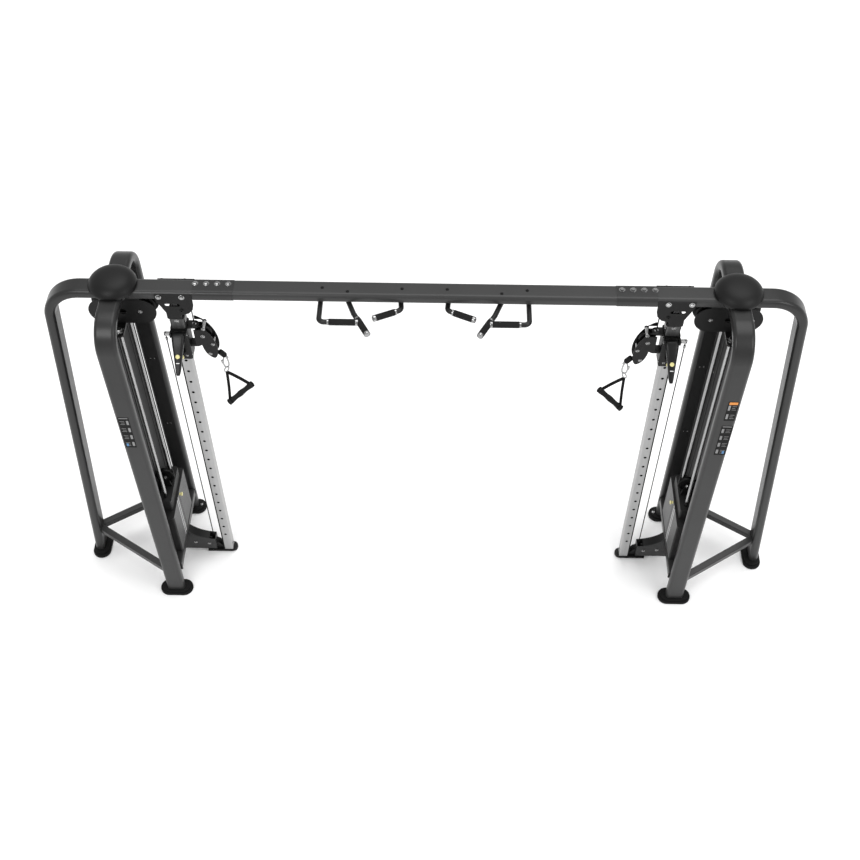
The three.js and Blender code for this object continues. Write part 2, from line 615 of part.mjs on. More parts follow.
const HANDLE_TUBE = 13;
const GRIP_SLEEVE = 16;
const HANDLE_Z = BEAM_Z - TUBE_THIN / 2 - 16;

// Each handle is a bent bar: root under the beam, corners, and the grip's start and end.
const PULLUP_HANDLES = [
  [[505, -20], [505, -162], [470, -162], [320, -162]],
  [[371, -20], [340, -104], [324, -132], [268, -238]],
  [[115, -20], [111, -74], [131, -84], [241, -134]],
];

function pullupHandle(side, corners) {
  const points = corners.map(([x, y]) => point(side * x, y, HANDLE_Z));
  const [gripStart, gripEnd] = points.slice(-2);
  const bar = sweep(circle(HANDLE_TUBE), new BentPath(
    [points[0], points[1], gripEnd], 26, point(0, 0, 1), 3), 4);
  const along = gripEnd.clone().sub(gripStart);
  const sleeve = new THREE.CylinderGeometry(GRIP_SLEEVE, GRIP_SLEEVE, along.length() - 10, 10);
  sleeve.applyQuaternion(new THREE.Quaternion().setFromUnitVectors(point(0, 1, 0), along.clone().normalize()));
  sleeve.translate(...gripStart.clone().add(gripEnd).multiplyScalar(0.5).toArray());
  return join(bar, solid(sleeve));
}

function pullupHandles() {
  const bar = box([-518, 518], [-36, -4], [HANDLE_Z - 12, BEAM_Z - TUBE_THIN / 2 - GAP]);
  const handles = [-1, 1].flatMap((side) => PULLUP_HANDLES.map((corners) => pullupHandle(side, corners)));
  return join(bar, ...handles);
}

// ---- assembly -----------------------------------------------------------------------------------------------

const hook = snapHook();

const TOWER_PIECES = {
  tower_frame: [towerFrame(), PAINT],
  outer_leg: [outerLeg(), PAINT],
  hub_cap: [hubCap(), BLACK],
  front_foot: [pad(TOWER_X, -PAD_Y, true), RUBBER],
  rear_foot: [pad(TOWER_X, PAD_Y, true), RUBBER],
  outer_foot: [pad(OUTER_PAD_X, 0, false), RUBBER],
  stack_shroud: [stackShroud(), SHROUD],
  guide_rods: [guideRods(), STEEL],
  fixed_weights: [fixedWeights(), IRON],
  lifting_weights: [liftingWeights(), IRON],
  stack_pulley: [sheave(STACK_SHEAVE), BLACK],
  selector_pin: [selectorPin(), YELLOW],
  pulley_housing: [pulleyHousing(), BLACK],
  inner_top_pulley: [sheave(INNER_TOP_SHEAVE), BLACK],
  outer_top_pulley: [sheave(OUTER_TOP_SHEAVE), BLACK],
  base_pulley: [sheave(BASE_SHEAVE), BLACK],
  column: [column(), SILVER],
  column_bracket: [columnBracket(), BLACK],
  bracket_pulley: [sheave(BRACKET_SHEAVE), BLACK],
  lower_arm: [lowerArm(), PAINT],
  arm_pulley: [sheave(ARM_SHEAVE), BLACK],
  carriage: [carriage(), BLACK],
  release_lever: [releaseLever(), BLACK],
  lock_pin: [lockPin(), STEEL],
  swivel_head: [swivelHead(), BLACK],
  head_pulley: [sheave(HEAD_SHEAVE), BLACK],
  snap_hook: [join(hook.stop, hook.loop, hook.ring), STEEL],
  hand_grip: [handGrip(), RUBBER],
  cable: [cable(), BLACK],
};

function namedMesh(name, geometry, finish) {
  const mesh = new THREE.Mesh(geometry, new THREE.MeshStandardMaterial(finish));
  mesh.name = name;
  return mesh;
}

// Mirror image across the middle plane; each triangle's order is reversed so that its face still points out.
function mirrored(geometry) {
  const copy = geometry.clone().applyMatrix4(new THREE.Matrix4().makeScale(-1, 1, 1));
  const index = copy.index.array;
  for (let i = 0; i < index.length; i += 3) {
    [index[i], index[i + 1]] = [index[i + 1], index[i]];
  }
  copy.computeVertexNormals();
  return copy;
}

const trainer = new THREE.Group();
trainer.name = 'functional_trainer';
const [leftTower, rightTower] = [new THREE.Group(), new THREE.Group()];
trainer.add(leftTower, rightTower);
for (const [name, [body, finish]] of Object.entries(TOWER_PIECES)) {
  const geometry = geometryOf(body);
  rightTower.add(namedMesh(`right_${name}`, geometry, finish));
  leftTower.add(namedMesh(`left_${name}`, mirrored(geometry), finish));
}
trainer.add(namedMesh('beam', geometryOf(beam()), PAINT));
trainer.add(namedMesh('pullup_handles', geometryOf(pullupHandles()), BLACK));

export default trainer;
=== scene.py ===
"""Looks of the dual-tower functional trainer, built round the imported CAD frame.

Shapes are drawn in millimetres for the right-hand tower (+X) and mirrored for the left-hand one.
"""

import math

import bmesh
import bpy
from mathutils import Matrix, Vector
from mathutils.geometry import tessellate_polygon


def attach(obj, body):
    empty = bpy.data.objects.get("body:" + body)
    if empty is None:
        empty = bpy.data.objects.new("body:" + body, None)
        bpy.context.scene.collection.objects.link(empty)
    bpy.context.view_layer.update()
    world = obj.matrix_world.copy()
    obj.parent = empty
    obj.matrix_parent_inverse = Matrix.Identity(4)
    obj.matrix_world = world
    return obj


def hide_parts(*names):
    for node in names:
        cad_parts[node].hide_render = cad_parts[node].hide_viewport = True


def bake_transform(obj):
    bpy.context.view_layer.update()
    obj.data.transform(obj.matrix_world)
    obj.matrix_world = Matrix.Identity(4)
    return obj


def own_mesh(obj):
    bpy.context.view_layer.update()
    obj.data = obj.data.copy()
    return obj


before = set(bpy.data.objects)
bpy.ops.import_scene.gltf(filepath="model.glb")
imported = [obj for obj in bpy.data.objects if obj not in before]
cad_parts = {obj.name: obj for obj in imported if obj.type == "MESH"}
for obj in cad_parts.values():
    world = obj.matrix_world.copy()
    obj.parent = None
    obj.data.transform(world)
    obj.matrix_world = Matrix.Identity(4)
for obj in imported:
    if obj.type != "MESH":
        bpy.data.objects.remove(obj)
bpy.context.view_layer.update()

MM = 0.001
SIDES = {"right": 1, "left": -1}

# ---- dimensions, millimetres ----

WIDE, THIN, CORNER = 105, 54, 20  # frame tube: width, thickness and corner radius
BEND, ARCH_BEND = 170, 130  # centre-line radii of the frame tube's bends
BEAM_Z, BEAM_END = 2241, 1109
BEAM_TOP, BEAM_UNDER = BEAM_Z + THIN / 2, BEAM_Z - THIN / 2
SPLICE = (924, 1121)  # ends of the sleeve round the beam's joint
TOWER_X, LEG_Y = 1508, 305
LEG_BOTTOM, PAD_HEIGHT = 32.3, 32
LEG_FRONT = -LEG_Y - THIN / 2  # front face of the front leg
FOOT_Y, OUTER_PAD_X = 302.5, 2014
OUTER_FOOT_X, OUTER_LEAN = 2025, 0.085  # outer leg at the floor, and its shift inwards per unit of height
BASE_Z, BRACE_Z = (178, 228), 208
HOUSING_TOP, HOUSING_HALF = 2213, 39
CAP_TOP, CAP_RADIUS = 2335, 118

ROD_X, ROD_Y, ROD_TOP = 1504, 90, 2040
PLATE_X = (1457, 1551)
STACK_BOTTOM, STACK_SPLIT, STACK_TOP, HEAD_TOP = 229, 547.8, 570, 655  # the plates part at STACK_SPLIT
FIXED_PLATES = 15
SELECTOR_Z = 557
SHROUD_X, SHROUD_SIZE, SHROUD_Z = (1566, 1570), (550, 1752), 1114
SCREW_Z = (300, 878, 1437, 1930)

COLUMN_X, COLUMN_HALF, COLUMN_WALL = 1226, 28, 3
COLUMN_Z = (22.3, 2115)
HOLE_FIRST, HOLE_PITCH, HOLE_COUNT, HOLE_RADIUS = 184, 83, 23, 6.8
SLEEVE_Z, SLEEVE_HALF = (1790, 2005), 42
NECK_TOP = 2071
ANCHOR = (1308, 1930)  # cable eye on the carriage: x, z
LOCK_Z = HOLE_FIRST + 20 * HOLE_PITCH
LEVER_PIVOT = (-62, 1986)  # y, z
SWIVEL_X, LOWER_LUG_Z = 1152, 1864
BRACKET_HALF, BRACKET_FOOT = 57.8, (2097, 2117)
ARM_TOE_X, ARM_HEEL_X, ARM_HALF = 1295, 1497, 30

CABLE = 3  # radius over its jacket
# Each sheave is x, z and the radius of the cable's centre line on it.
HEAD, BRACKET = (1114, 1945, 38), (1182, 2156, 30)
INNER_TOP, STACK = (1395, 2123, 63), (1508, 738, 50)
OUTER_TOP, BASE, ARM = (1596, 2123, 38), (1596, 93, 38), (1338, 85, 30)
EXIT = math.radians(38)  # the cable leaves the head sheave this far from plumb
STOP_AT = 146  # from there to the rubber stop, along the cable
APEX = Vector((1034, 0, 1645))  # where the straps meet, under the ring
GRIP_ENDS = (Vector((1026, -94, 1514)), Vector((921, 35, 1514)))

HANDLE_Z, HANDLE_RADIUS, HANDLE_BEND = BEAM_UNDER - 16, 13, 26
HANDLES = [  # root, bend, start of the grip and tip of each pull-up handle: x, y
    [(505, -20), (505, -162), (470, -162), (320, -162)],
    [(371, -20), (340, -104), (324, -132), (268, -238)],
    [(115, -20), (111, -74), (131, -84), (241, -134)],
]
X, Y, Z = Vector((1, 0, 0)), Vector((0, 1, 0)), Vector((0, 0, 1))


# ---- outlines ----

def arc(x, y, radius, start, end, steps):
    turns = [math.radians(start + (end - start) * i / steps) for i in range(steps + 1)]
    return [(x + radius * math.cos(t), y + radius * math.sin(t)) for t in turns]


def rounded(width, height, radius, x=0, y=0, steps=6):
    w, h = width / 2 - radius, height / 2 - radius
    corners = [(w, h, 0), (-w, h, 90), (-w, -h, 180), (w, -h, 270)]
    return [p for cx, cy, a in corners for p in arc(x + cx, y + cy, radius, a, a + 90, steps)]


def circle(radius, x=0, y=0, steps=24):
    return arc(x, y, radius, 0, 360, steps)[:-1]


def obround(x0, x1, y, radius, steps=20):
    return arc(x1, y, radius, -90, 90, steps) + arc(x0, y, radius, 90, 270, steps)


def rectangle(x, y):
    return [(x[0], y[0]), (x[1], y[0]), (x[1], y[1]), (x[0], y[1])]


def bezier(a, b, c, d, steps):
    """Points of a cubic curve after its start."""
    found = []
    for i in range(1, steps + 1):
        t = i / steps
        k = ((1 - t) ** 3, 3 * t * (1 - t) ** 2, 3 * t * t * (1 - t), t ** 3)
        found.append(tuple(sum(k[j] * p[axis] for j, p in enumerate((a, b, c, d))) for axis in (0, 1)))
    return found


def quadratic(a, b, c, steps=16):
    """Points of a quadratic curve, both ends among them."""
    found = []
    for i in range(steps + 1):
        t = i / steps
        found.append(tuple((1 - t) ** 2 * p + 2 * t * (1 - t) * q + t * t * r for p, q, r in zip(a, b, c)))
    return found


def area(outline):
    return sum(a[0] * b[1] - b[0] * a[1] for a, b in zip(outline, outline[1:] + outline[:1])) / 2


# ---- shells: (points, faces) ----

def combined(*shells):
    points, faces = [], []
    for shell_points, shell_faces in shells:
        base = len(points)
        points += shell_points
        faces += [[i + base for i in face] for face in shell_faces]
    return points, faces


def slab(outline, low, high, plane="XZ", holes=()):
    """A flat plate with holes; low and high are its faces along the axis that the plane leaves out."""
    place = {
        "XZ": lambda a, b, c: Vector((a, c, b)),
        "XY": lambda a, b, c: Vector((a, b, c)),
        "YZ": lambda a, b, c: Vector((c, a, b)),
    }[plane]
    loops = [list(outline) if area(outline) > 0 else list(outline)[::-1]]
    loops += [list(h) if area(h) < 0 else list(h)[::-1] for h in holes]
    flat = [p for loop in loops for p in loop]
    count = len(flat)
    points = [place(a, b, low) for a, b in flat] + [place(a, b, high) for a, b in flat]
    faces, start = [], 0
    for loop in loops:
        n = len(loop)
        for i in range(n):
            a, b = start + i, start + (i + 1) % n
            faces.append([a, b, b + count, a + count])
        start += n
    if holes:
        triangles = tessellate_polygon([[Vector((a, b, 0)) for a, b in loop] for loop in loops])
        for tri in triangles:
            if area([flat[i] for i in tri]) < 0:
                tri = tri[::-1]
            faces.append([i + count for i in tri])
            faces.append(list(tri[::-1]))
    else:
        faces.append([i + count for i in range(count)])
        faces.append(list(range(count))[::-1])
    if plane == "XZ":
        faces = [face[::-1] for face in faces]
    return points, faces


def box(x, y, z):
    return slab(rectangle(x, y), *z, "XY")


def cheeks(outline, inner, outer, holes=()):
    """Two plates of one outline, on either side of the tower's plane."""
    return [slab(outline, *span, holes=holes) for span in ((inner, outer), (-outer, -inner))]


def across(axis, side=None):
    """Two directions square to axis and to each other."""
    side = side or (Z if abs(axis.z) < 0.9 else X)
    first = (side - axis * side.dot(axis)).normalized()
    return first, axis.cross(first)


def lathe(profile, at, axis=Z, steps=32):
    """A turned shape: profile holds (radius, distance along the axis), from one end to the other."""
    at, axis = Vector(at), Vector(axis).normalized()
    u, v = across(axis)
    points, rings = [], []
    for radius, along in profile:
        if radius < 1e-6:
            rings.append([len(points)])
            points.append(at + axis * along)
            continue
        rings.append(list(range(len(points), len(points) + steps)))
        for i in range(steps):
            t = 2 * math.pi * i / steps
            points.append(at + axis * along + (u * math.cos(t) + v * math.sin(t)) * radius)
    faces = []
    for low, high in zip(rings, rings[1:]):
        for i in range(steps):
            j = (i + 1) % steps
            face = [low[i % len(low)], low[j % len(low)], high[j % len(high)], high[i % len(high)]]
            face = list(dict.fromkeys(face))
            if len(face) > 2:
                faces.append(face)
    if len(rings[0]) > 1 and profile[0] != profile[-1]:
        faces.append(rings[0][::-1])
    if len(rings[-1]) > 1 and profile[0] != profile[-1]:
        faces.append(list(rings[-1]))
    return points, faces


def rod(radius, a, b, chamfer=1.0):
    a, b = Vector(a), Vector(b)
    length = (b - a).length
    inner = radius - chamfer
    return lathe([(inner, 0), (radius, chamfer), (radius, length - chamfer), (inner, length)], a, b - a, 24)


def axle(place, half):
    return rod(6, (place[0], -half, place[1]), (place[0], half, place[1]), 0.6)


def bent_line(corners, radius, steps):
    """Stations (point, direction) of straight stretches joined by round bends."""
    corners = [Vector(c) for c in corners]
    stations = [(corners[0], (corners[1] - corners[0]).normalized())]
    for before, corner, after in zip(corners, corners[1:], corners[2:]):
        into, away = (corner - before).normalized(), (after - corner).normalized()
        turn = into.angle(away)
        start = corner - into * radius * math.tan(turn / 2)
        inward = (away - into * math.cos(turn)).normalized()
        count = max(2, round(steps * turn / (math.pi / 2)))
        for i in range(count + 1):
            t = turn * i / count
            spot = start + into * radius * math.sin(t) + inward * radius * (1 - math.cos(t))
            stations.append((spot, into * math.cos(t) + inward * math.sin(t)))
    stations.append((corners[-1], stations[-1][1]))
    return stations


def sweep(section, stations, side, closed=False, hollow=None):
    """A section carried along stations; its first axis stays towards side."""
    points, faces = [], []
    loops = [section] + ([hollow] if hollow else [])
    for spot, along in stations:
        u, v = across(along, Vector(side))
        points += [spot + u * a + v * b for loop in loops for a, b in loop]
    ring, n = sum(map(len, loops)), len(section)
    spans = len(stations) if closed else len(stations) - 1
    for k in range(spans):
        low, high = k * ring, ((k + 1) % len(stations)) * ring
        for i in range(n):
            j = (i + 1) % n
            faces.append([low + i, low + j, high + j, high + i])
            if hollow:
                faces.append([low + n + j, low + n + i, high + n + i, high + n + j])
    if not closed:
        last = (len(stations) - 1) * ring
        if hollow:
            for i in range(n):
                j = (i + 1) % n
                faces.append([j, i, n + i, n + j])
                faces.append([last + i, last + j, last + n + j, last + n + i])
        else:
            faces.append(list(range(n))[::-1])
            faces.append([last + i for i in range(n)])
    return points, faces


def straight(a, b):
    a, b = Vector(a), Vector(b)
    return [(a, (b - a).normalized()), (b, (b - a).normalized())]


def frame_tube(corners, side, bend=BEND):
    return sweep(rounded(WIDE, THIN, CORNER), bent_line(corners, bend, 18), side)


def fastener(washer, head, at, axis, radius, sides=32):
    """A washer and a bolt head, drawn for a head of radius 1 and standing on a surface."""
    def sized(profile):
        return [(radius * r, radius * along) for r, along in profile]

    return combined(lathe(sized(washer), at, axis), lathe(sized(head), at, axis, sides))


def bolt(at, axis, radius=8):
    """A button-head bolt with a round socket."""
    washer = [(1.42, 0), (1.42, 0.16), (1.34, 0.22), (0.3, 0.22)]
    head = [(1, 0.2), (1, 0.42), (0.93, 0.62), (0.76, 0.78), (0.56, 0.84), (0.46, 0.84), (0.44, 0.4),
            (0, 0.4)]
    return fastener(washer, head, at, axis, radius)


def hex_bolt(at, axis, radius=9):
    washer = [(1.45, 0), (1.45, 0.18), (1.38, 0.24), (0.3, 0.24)]
    return fastener(washer, [(1, 0.22), (1, 0.78), (0.86, 0.9), (0, 0.9)], at, axis, radius, 6)


def cheek_bolts(places, half, radius=8, make=bolt):
    """Bolts through the places (x, z), on the outer faces of two plates."""
    return [make((place[0], end * half, place[1]), Y * end, radius) for place in places for end in (-1, 1)]


def weld(points):
    """A weld bead along a run of points."""
    stations = []
    for i, p in enumerate(points):
        before, after = points[max(i - 1, 0)], points[min(i + 1, len(points) - 1)]
        stations.append((Vector(p), (Vector(after) - Vector(before)).normalized()))
    return sweep(circle(3, steps=8), stations, X if abs(stations[0][1].x) < 0.9 else Z)


# ---- materials ----

def linear(level):
    """Linear value of an 8-bit grey or colour."""
    if isinstance(level, (int, float)):
        level = (level,) * 3
    return tuple((v / 255 / 12.92) if v <= 10.3 else ((v / 255 + 0.055) / 1.055) ** 2.4 for v in level) + (1,)


SLOT_OF = {}  # the slot of a piece that names none, by its material


class Finish:
    """A procedural material: colour drift, roughness drift, surface relief and a painted edge highlight."""

    def __init__(self, name, slot, metallic=0.0, specular=0.5):
        self.material = bpy.data.materials.new(name)
        SLOT_OF[self.material.name] = slot
        self.material.use_nodes = True
        self.nodes = self.material.node_tree.nodes
        self.links = self.material.node_tree.links
        self.shader = self.nodes["Principled BSDF"]
        self.shader.inputs["Metallic"].default_value = metallic
        self.shader.inputs["Specular IOR Level"].default_value = specular
        self.place = self.add("ShaderNodeTexCoord").outputs["Object"]

    def add(self, kind, **values):
        node = self.nodes.new(kind)
        for key, value in values.items():
            if hasattr(node, key):
                setattr(node, key, value)
            else:
                node.inputs[key.replace("_", " ")].default_value = value
        return node

    def texture(self, kind, output, stretch=(1, 1, 1), turn=(0, 0, 0), **values):
        mapping = self.add("ShaderNodeMapping")
        mapping.inputs["Scale"].default_value = stretch
        mapping.inputs["Rotation"].default_value = [math.radians(t) for t in turn]
        self.links.new(self.place, mapping.inputs["Vector"])
        node = self.add(kind, **values)
        self.links.new(mapping.outputs["Vector"], node.inputs["Vector"])
        return node.outputs[output]

    def noise(self, scale, detail=3, stretch=(1, 1, 1)):
        return self.texture("ShaderNodeTexNoise", "Fac", stretch, Scale=scale, Detail=detail)

    def wave(self, scale, turn):
        return self.texture("ShaderNodeTexWave", "Fac", turn=turn, Scale=scale, Distortion=0.0)

    def cells(self, scale):
        return self.texture("ShaderNodeTexVoronoi", "Distance", Scale=scale, feature="SMOOTH_F1")

    def total(self, a, b):
        node = self.add("ShaderNodeMath", operation="ADD")
        self.links.new(a, node.inputs[0])
        self.links.new(b, node.inputs[1])
        return node.outputs[0]

    def colour(self, factor, low, high, start=0.35, end=0.65):
        ramp = self.add("ShaderNodeValToRGB")
        first, last = ramp.color_ramp.elements
        first.position, last.position = start, end
        first.color, last.color = linear(low), linear(high)
        self.links.new(factor, ramp.inputs["Fac"])
        self.tint = ramp.outputs["Color"]
        self.links.new(self.tint, self.shader.inputs["Base Color"])
        return self

    def painted_edge_highlight(self, level):
        """Lighter along convex edges: a painted highlight where edges catch the light."""
        pointed = self.add("ShaderNodeNewGeometry").outputs["Pointiness"]
        ramp = self.add("ShaderNodeMapRange")
        for key, value in (("From Min", 0.53), ("From Max", 0.62), ("To Min", 0.0), ("To Max", 0.55)):
            ramp.inputs[key].default_value = value
        self.links.new(pointed, ramp.inputs["Value"])
        mix = self.add("ShaderNodeMix", data_type="RGBA")
        mix.inputs["B"].default_value = linear(level)
        self.links.new(ramp.outputs["Result"], mix.inputs["Factor"])
        self.links.new(self.tint, mix.inputs["A"])
        self.links.new(mix.outputs["Result"], self.shader.inputs["Base Color"])
        return self

    def rough(self, factor, low, high):
        ramp = self.add("ShaderNodeMapRange")
        ramp.inputs["To Min"].default_value, ramp.inputs["To Max"].default_value = low, high
        self.links.new(factor, ramp.inputs["Value"])
        self.links.new(ramp.outputs["Result"], self.shader.inputs["Roughness"])
        return self

    def relief(self, height, strength, depth_mm):
        bump = self.add("ShaderNodeBump", Strength=strength, Distance=depth_mm * MM)
        self.links.new(height, bump.inputs["Height"])
        self.links.new(bump.outputs["Normal"], self.shader.inputs["Normal"])
        return self


# Convex edges are lightened towards the edge level: a painted highlight.
def coated(name, slot, low, high, rough, grain=900, depth=0.15, strength=0.35, metallic=0.0, edge_highlight=None,
           specular=0.5):
    finish = Finish(name, slot, metallic, specular)
    finish.colour(finish.noise(3, 4), low, high).rough(finish.noise(14, 3), *rough)
    finish.relief(finish.noise(grain, 2), strength, depth)
    if edge_highlight:
        finish.painted_edge_highlight(edge_highlight)
    return finish.material


def printed(name, slot, low, high, rough=(0.3, 0.4), depth=0.04, specular=0.5):
    return coated(name, slot, low, high, rough, grain=120, depth=depth, specular=specular)


def brushed(name, slot, low, high, rough, stretch, metallic, strength=0.2):
    finish = Finish(name, slot, metallic)
    streaks = finish.noise(60, 4, stretch)
    finish.colour(streaks, low, high).rough(finish.noise(9, 3), *rough).relief(streaks, strength, 0.05)
    return finish.material


def knurled(name, slot, low, high, scale, depth):
    finish = Finish(name, slot, specular=0.25)
    ribs = finish.total(finish.wave(scale, (0, 0, 45)), finish.wave(scale, (45, 0, -45)))
    finish.colour(finish.noise(40), low, high).rough(finish.noise(30), 0.62, 0.8).relief(ribs, 0.5, depth)
    return finish.material


def woven(name, slot, low, high, scale):
    finish = Finish(name, slot, specular=0.15)
    threads = finish.total(finish.wave(scale, (0, 40, 0)), finish.wave(scale, (0, -50, 90)))
    finish.colour(threads, low, high, 0.1, 0.9).rough(finish.noise(60), 0.75, 0.95).relief(threads, 0.6, 0.35)
    return finish.material


def cast(name, slot, low, high):
    finish = Finish(name, slot, 0.35)
    pits = finish.cells(260)
    finish.colour(finish.noise(12, 5), low, high).rough(finish.noise(40), 0.5, 0.68).relief(pits, 0.35, 0.3)
    # Convex edges are lightened: a painted highlight.
    return finish.painted_edge_highlight(60).material


# The edge levels below lighten convex edges: a painted highlight.
PAINT = coated("frame_powder_coat", "frame_paint", 34, 39, (0.28, 0.36), edge_highlight=66, specular=0.28)
HANDLE_PAINT = coated("handle_powder_coat", "handle_paint", 17, 22, (0.3, 0.4), edge_highlight=50, specular=0.3)
CAP = coated("moulded_cap", "cap_plastic", 12, 16, (0.42, 0.52), grain=700, depth=0.2, specular=0.22)
BLACK = coated("bracket_powder_coat", "bracket_black", 11, 16, (0.36, 0.46), edge_highlight=30, specular=0.18)
RUBBER = coated("foot_rubber", "foot_rubber", 12, 18, (0.66, 0.82), grain=350, depth=0.4, strength=0.5,
                specular=0.2)
PANEL = coated("shroud_sheet", "shroud_panel", 36, 42, (0.5, 0.6), grain=500, edge_highlight=70, specular=0.25)
PLASTIC = coated("lever_moulding", "lever_plastic", 10, 14, (0.28, 0.4), grain=600, depth=0.12, specular=0.3)
NYLON = coated("sheave_nylon", "pulley_plastic", 9, 13, (0.32, 0.42), grain=240, depth=0.08, specular=0.25)
CABLE_COAT = coated("cable_jacket", "cable_coat", 9, 15, (0.34, 0.46), grain=1400, depth=0.1, specular=0.18)
YELLOW = coated("knob_moulding", "selector_knob", (214, 206, 138), (226, 219, 160), (0.4, 0.5), grain=500)
# The iron is kept dark for the stack's top and sides: partly its own colour, partly painted shade.
IRON = cast("weight_iron", "weight_plate", 24, 31)
# A lighter grey of the same plates for their inner faces: painted light where they face the lamps.
LIT_FACE = coated("painted_lit_face", "weight_plate", 92, 104, (0.45, 0.55), grain=300, depth=0.05, specular=0.3)
NECK = brushed("neck_steel", "bracket_black", 66, 82, (0.32, 0.44), (1, 1, 0.05), 0.5)
ROD = brushed("polished_rod", "polished_rod", 150, 172, (0.12, 0.2), (1, 1, 0.02), 1.0, 0.08)
COLUMN = brushed("column_silver", "column_silver", 158, 172, (0.4, 0.52), (1, 1, 0.015), 0.25)
CHROME = coated("bolt_chrome", "hook_chrome", 140, 160, (0.14, 0.24), grain=300, depth=0.03, strength=0.15,
                metallic=1.0)
GRIP = knurled("grip_foam", "grip_rubber", 9, 15, 170, 0.5)
WEBBING = woven("webbing_weave", "grip_rubber", 8, 22, 420)
LABEL_BLACK = printed("placard_film", "frame_paint", 4, 7, depth=0.05, specular=0.12)
SCALE = printed("scale_print", "weight_plate", 222, 236, (0.4, 0.5))
LABEL_LIGHT = printed("placard_panel", "frame_paint", 122, 138, specular=0.2)
LABEL_ORANGE = printed("placard_band", "frame_paint", (196, 118, 34), (208, 130, 46))
LABEL_BLUE = printed("placard_mark", "frame_paint", (58, 112, 158), (70, 124, 170))


# ---- pieces ----

SHARP = math.radians(34)


def in_scene(name, data):
    obj = bpy.data.objects.new(name, data)
    bpy.context.scene.collection.objects.link(obj)
    return obj


def mesh_object(name, shells, material, bevel=0.0, side=1):
    points, faces = combined(*shells)
    mesh = bpy.data.meshes.new(name)
    mesh.from_pydata(
        [(side * p.x * MM, p.y * MM, p.z * MM) for p in points], [],
        [face[::-1] if side < 0 else face for face in faces])
    work = bmesh.new()
    work.from_mesh(mesh)
    if bevel:
        edges = [e for e in work.edges if e.is_manifold and e.calc_face_angle(0) > SHARP]
        bmesh.ops.bevel(work, geom=edges, offset=bevel * MM, segments=2, profile=0.6, affect="EDGES",
                        clamp_overlap=True)
    work.to_mesh(mesh)
    work.free()
    mesh.polygons.foreach_set("use_smooth", [True] * len(mesh.polygons))
    mesh.set_sharp_from_angle(angle=SHARP)
    mesh.materials.append(material)
    return in_scene(name, mesh)


def piece(name, shells, material, body="frame", replaces=(), bevel=0.0, side=1, slot=None):
    """A visible piece. It also replaces the CAD node of its own name, where there is one."""
    obj = mesh_object(name, shells, material, bevel, side)
    obj.modifiers.new("weighted", "WEIGHTED_NORMAL").keep_sharp = True
    slot = slot or SLOT_OF[material.name]
    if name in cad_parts:
        replaces = [*replaces, name]
    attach(obj, body)
    if replaces:
        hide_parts(*replaces)


def body_of(label, body):
    return body if body == "frame" else f"{label}_{body}"


def tower(name, shells, material, body="frame", replaces=(), bevel=0.0, slot=None):
    """One piece on each tower. Body and node names are given without left_ or right_."""
    for label, side in SIDES.items():
        nodes = [f"{label}_{node}" for node in replaces]
        piece(f"{label}_{name}", shells, material, body_of(label, body), nodes, bevel, side, slot)


def both_ends(make):
    return [make(-1), make(1)]


# Legs, hub, beam stub, base tube and the idler fork.
arch = [(TOWER_X, end * LEG_Y, z)
        for end, z in ((-1, LEG_BOTTOM), (-1, BEAM_Z), (1, BEAM_Z), (1, LEG_BOTTOM))]
stub = frame_tube([(BEAM_END + 1, 0, BEAM_Z), (TOWER_X, 0, BEAM_Z)], Y)


def round_tube(gap):
    """The frame tube's section, let out by a gap on every side."""
    return rounded(WIDE + 2 * gap, THIN + 2 * gap, CORNER + gap)


sleeve_line = straight((SPLICE[0], 0, BEAM_Z), (SPLICE[1], 0, BEAM_Z))
sleeve = sweep(round_tube(2.3), sleeve_line, Y, hollow=round_tube(0.3))
hub = lathe([(72, HOUSING_TOP + 0.8), (72, BEAM_TOP)], (TOWER_X, 0, 0), Z, 64)
base_tube = sweep(rounded(60, 50, 6), straight((1482, -279, 203), (1482, 279, 203)), X)
fork_outline = [(1512, 212), (1512, 184), (1580, 70), (1612, 70), (1612, 112), (1540, 212)]
stub_weld = [(TOWER_X - 53, y, BEAM_TOP - 1) for y in range(-34, 35, 4)]
tower("tower_frame", [frame_tube(arch, X, ARCH_BEND), stub, hub, base_tube], PAINT)
tower("splice_sleeve", [sleeve], PAINT, bevel=0.7)
tower("idler_fork", cheeks(fork_outline, 12, 16), BLACK, bevel=0.8)
welds = [weld([(1482 + dx, end * 278, z) for dx, z in rounded(62, 52, 7, 0, 203, 4)]) for end in (-1, 1)]
tower("tower_welds", welds + [weld(stub_weld)], PAINT)


# Outer leg and its braces.
def lean(z):
    """Middle of the outer leg at a height."""
    return OUTER_FOOT_X - OUTER_LEAN * z


outer_line = [(TOWER_X + 78, 0, BEAM_Z), (lean(BEAM_Z), 0, BEAM_Z), (lean(LEG_BOTTOM), 0, LEG_BOTTOM)]


def brace(end):
    """A square tube from the outer leg to a tower leg, cut flush with the leg's side."""
    start, finish = Vector((lean(BASE_Z[1]), 0, BRACE_Z)), Vector((TOWER_X + 20, end * LEG_Y, BRACE_Z))
    run = (finish - start).normalized()
    points, faces = sweep(rounded(40, 40, 5), straight(start + run * 6, finish), Z)
    half = len(points) // 2
    face_x = TOWER_X + WIDE / 2 + 0.3
    return points[:half] + [p + run * ((face_x - p.x) / run.x) for p in points[half:]], faces


tower("outer_leg", [frame_tube(outer_line, Y)], PAINT)
tower("braces", both_ends(brace), PAINT)

# Domed cover over the hub.
rim = BEAM_TOP + 0.6
dome = bezier((CAP_RADIUS, rim + 14), (104, CAP_TOP - 16), (65, CAP_TOP), (0, CAP_TOP), 22)
cap_profile = [(0, rim), (CAP_RADIUS - 4, rim), (CAP_RADIUS - 1, rim + 1.5), (CAP_RADIUS, rim + 5),
               (CAP_RADIUS, rim + 14)]
tower("hub_cap", [lathe(cap_profile + dome, (TOWER_X, 0, 0), Z, 96)], CAP)


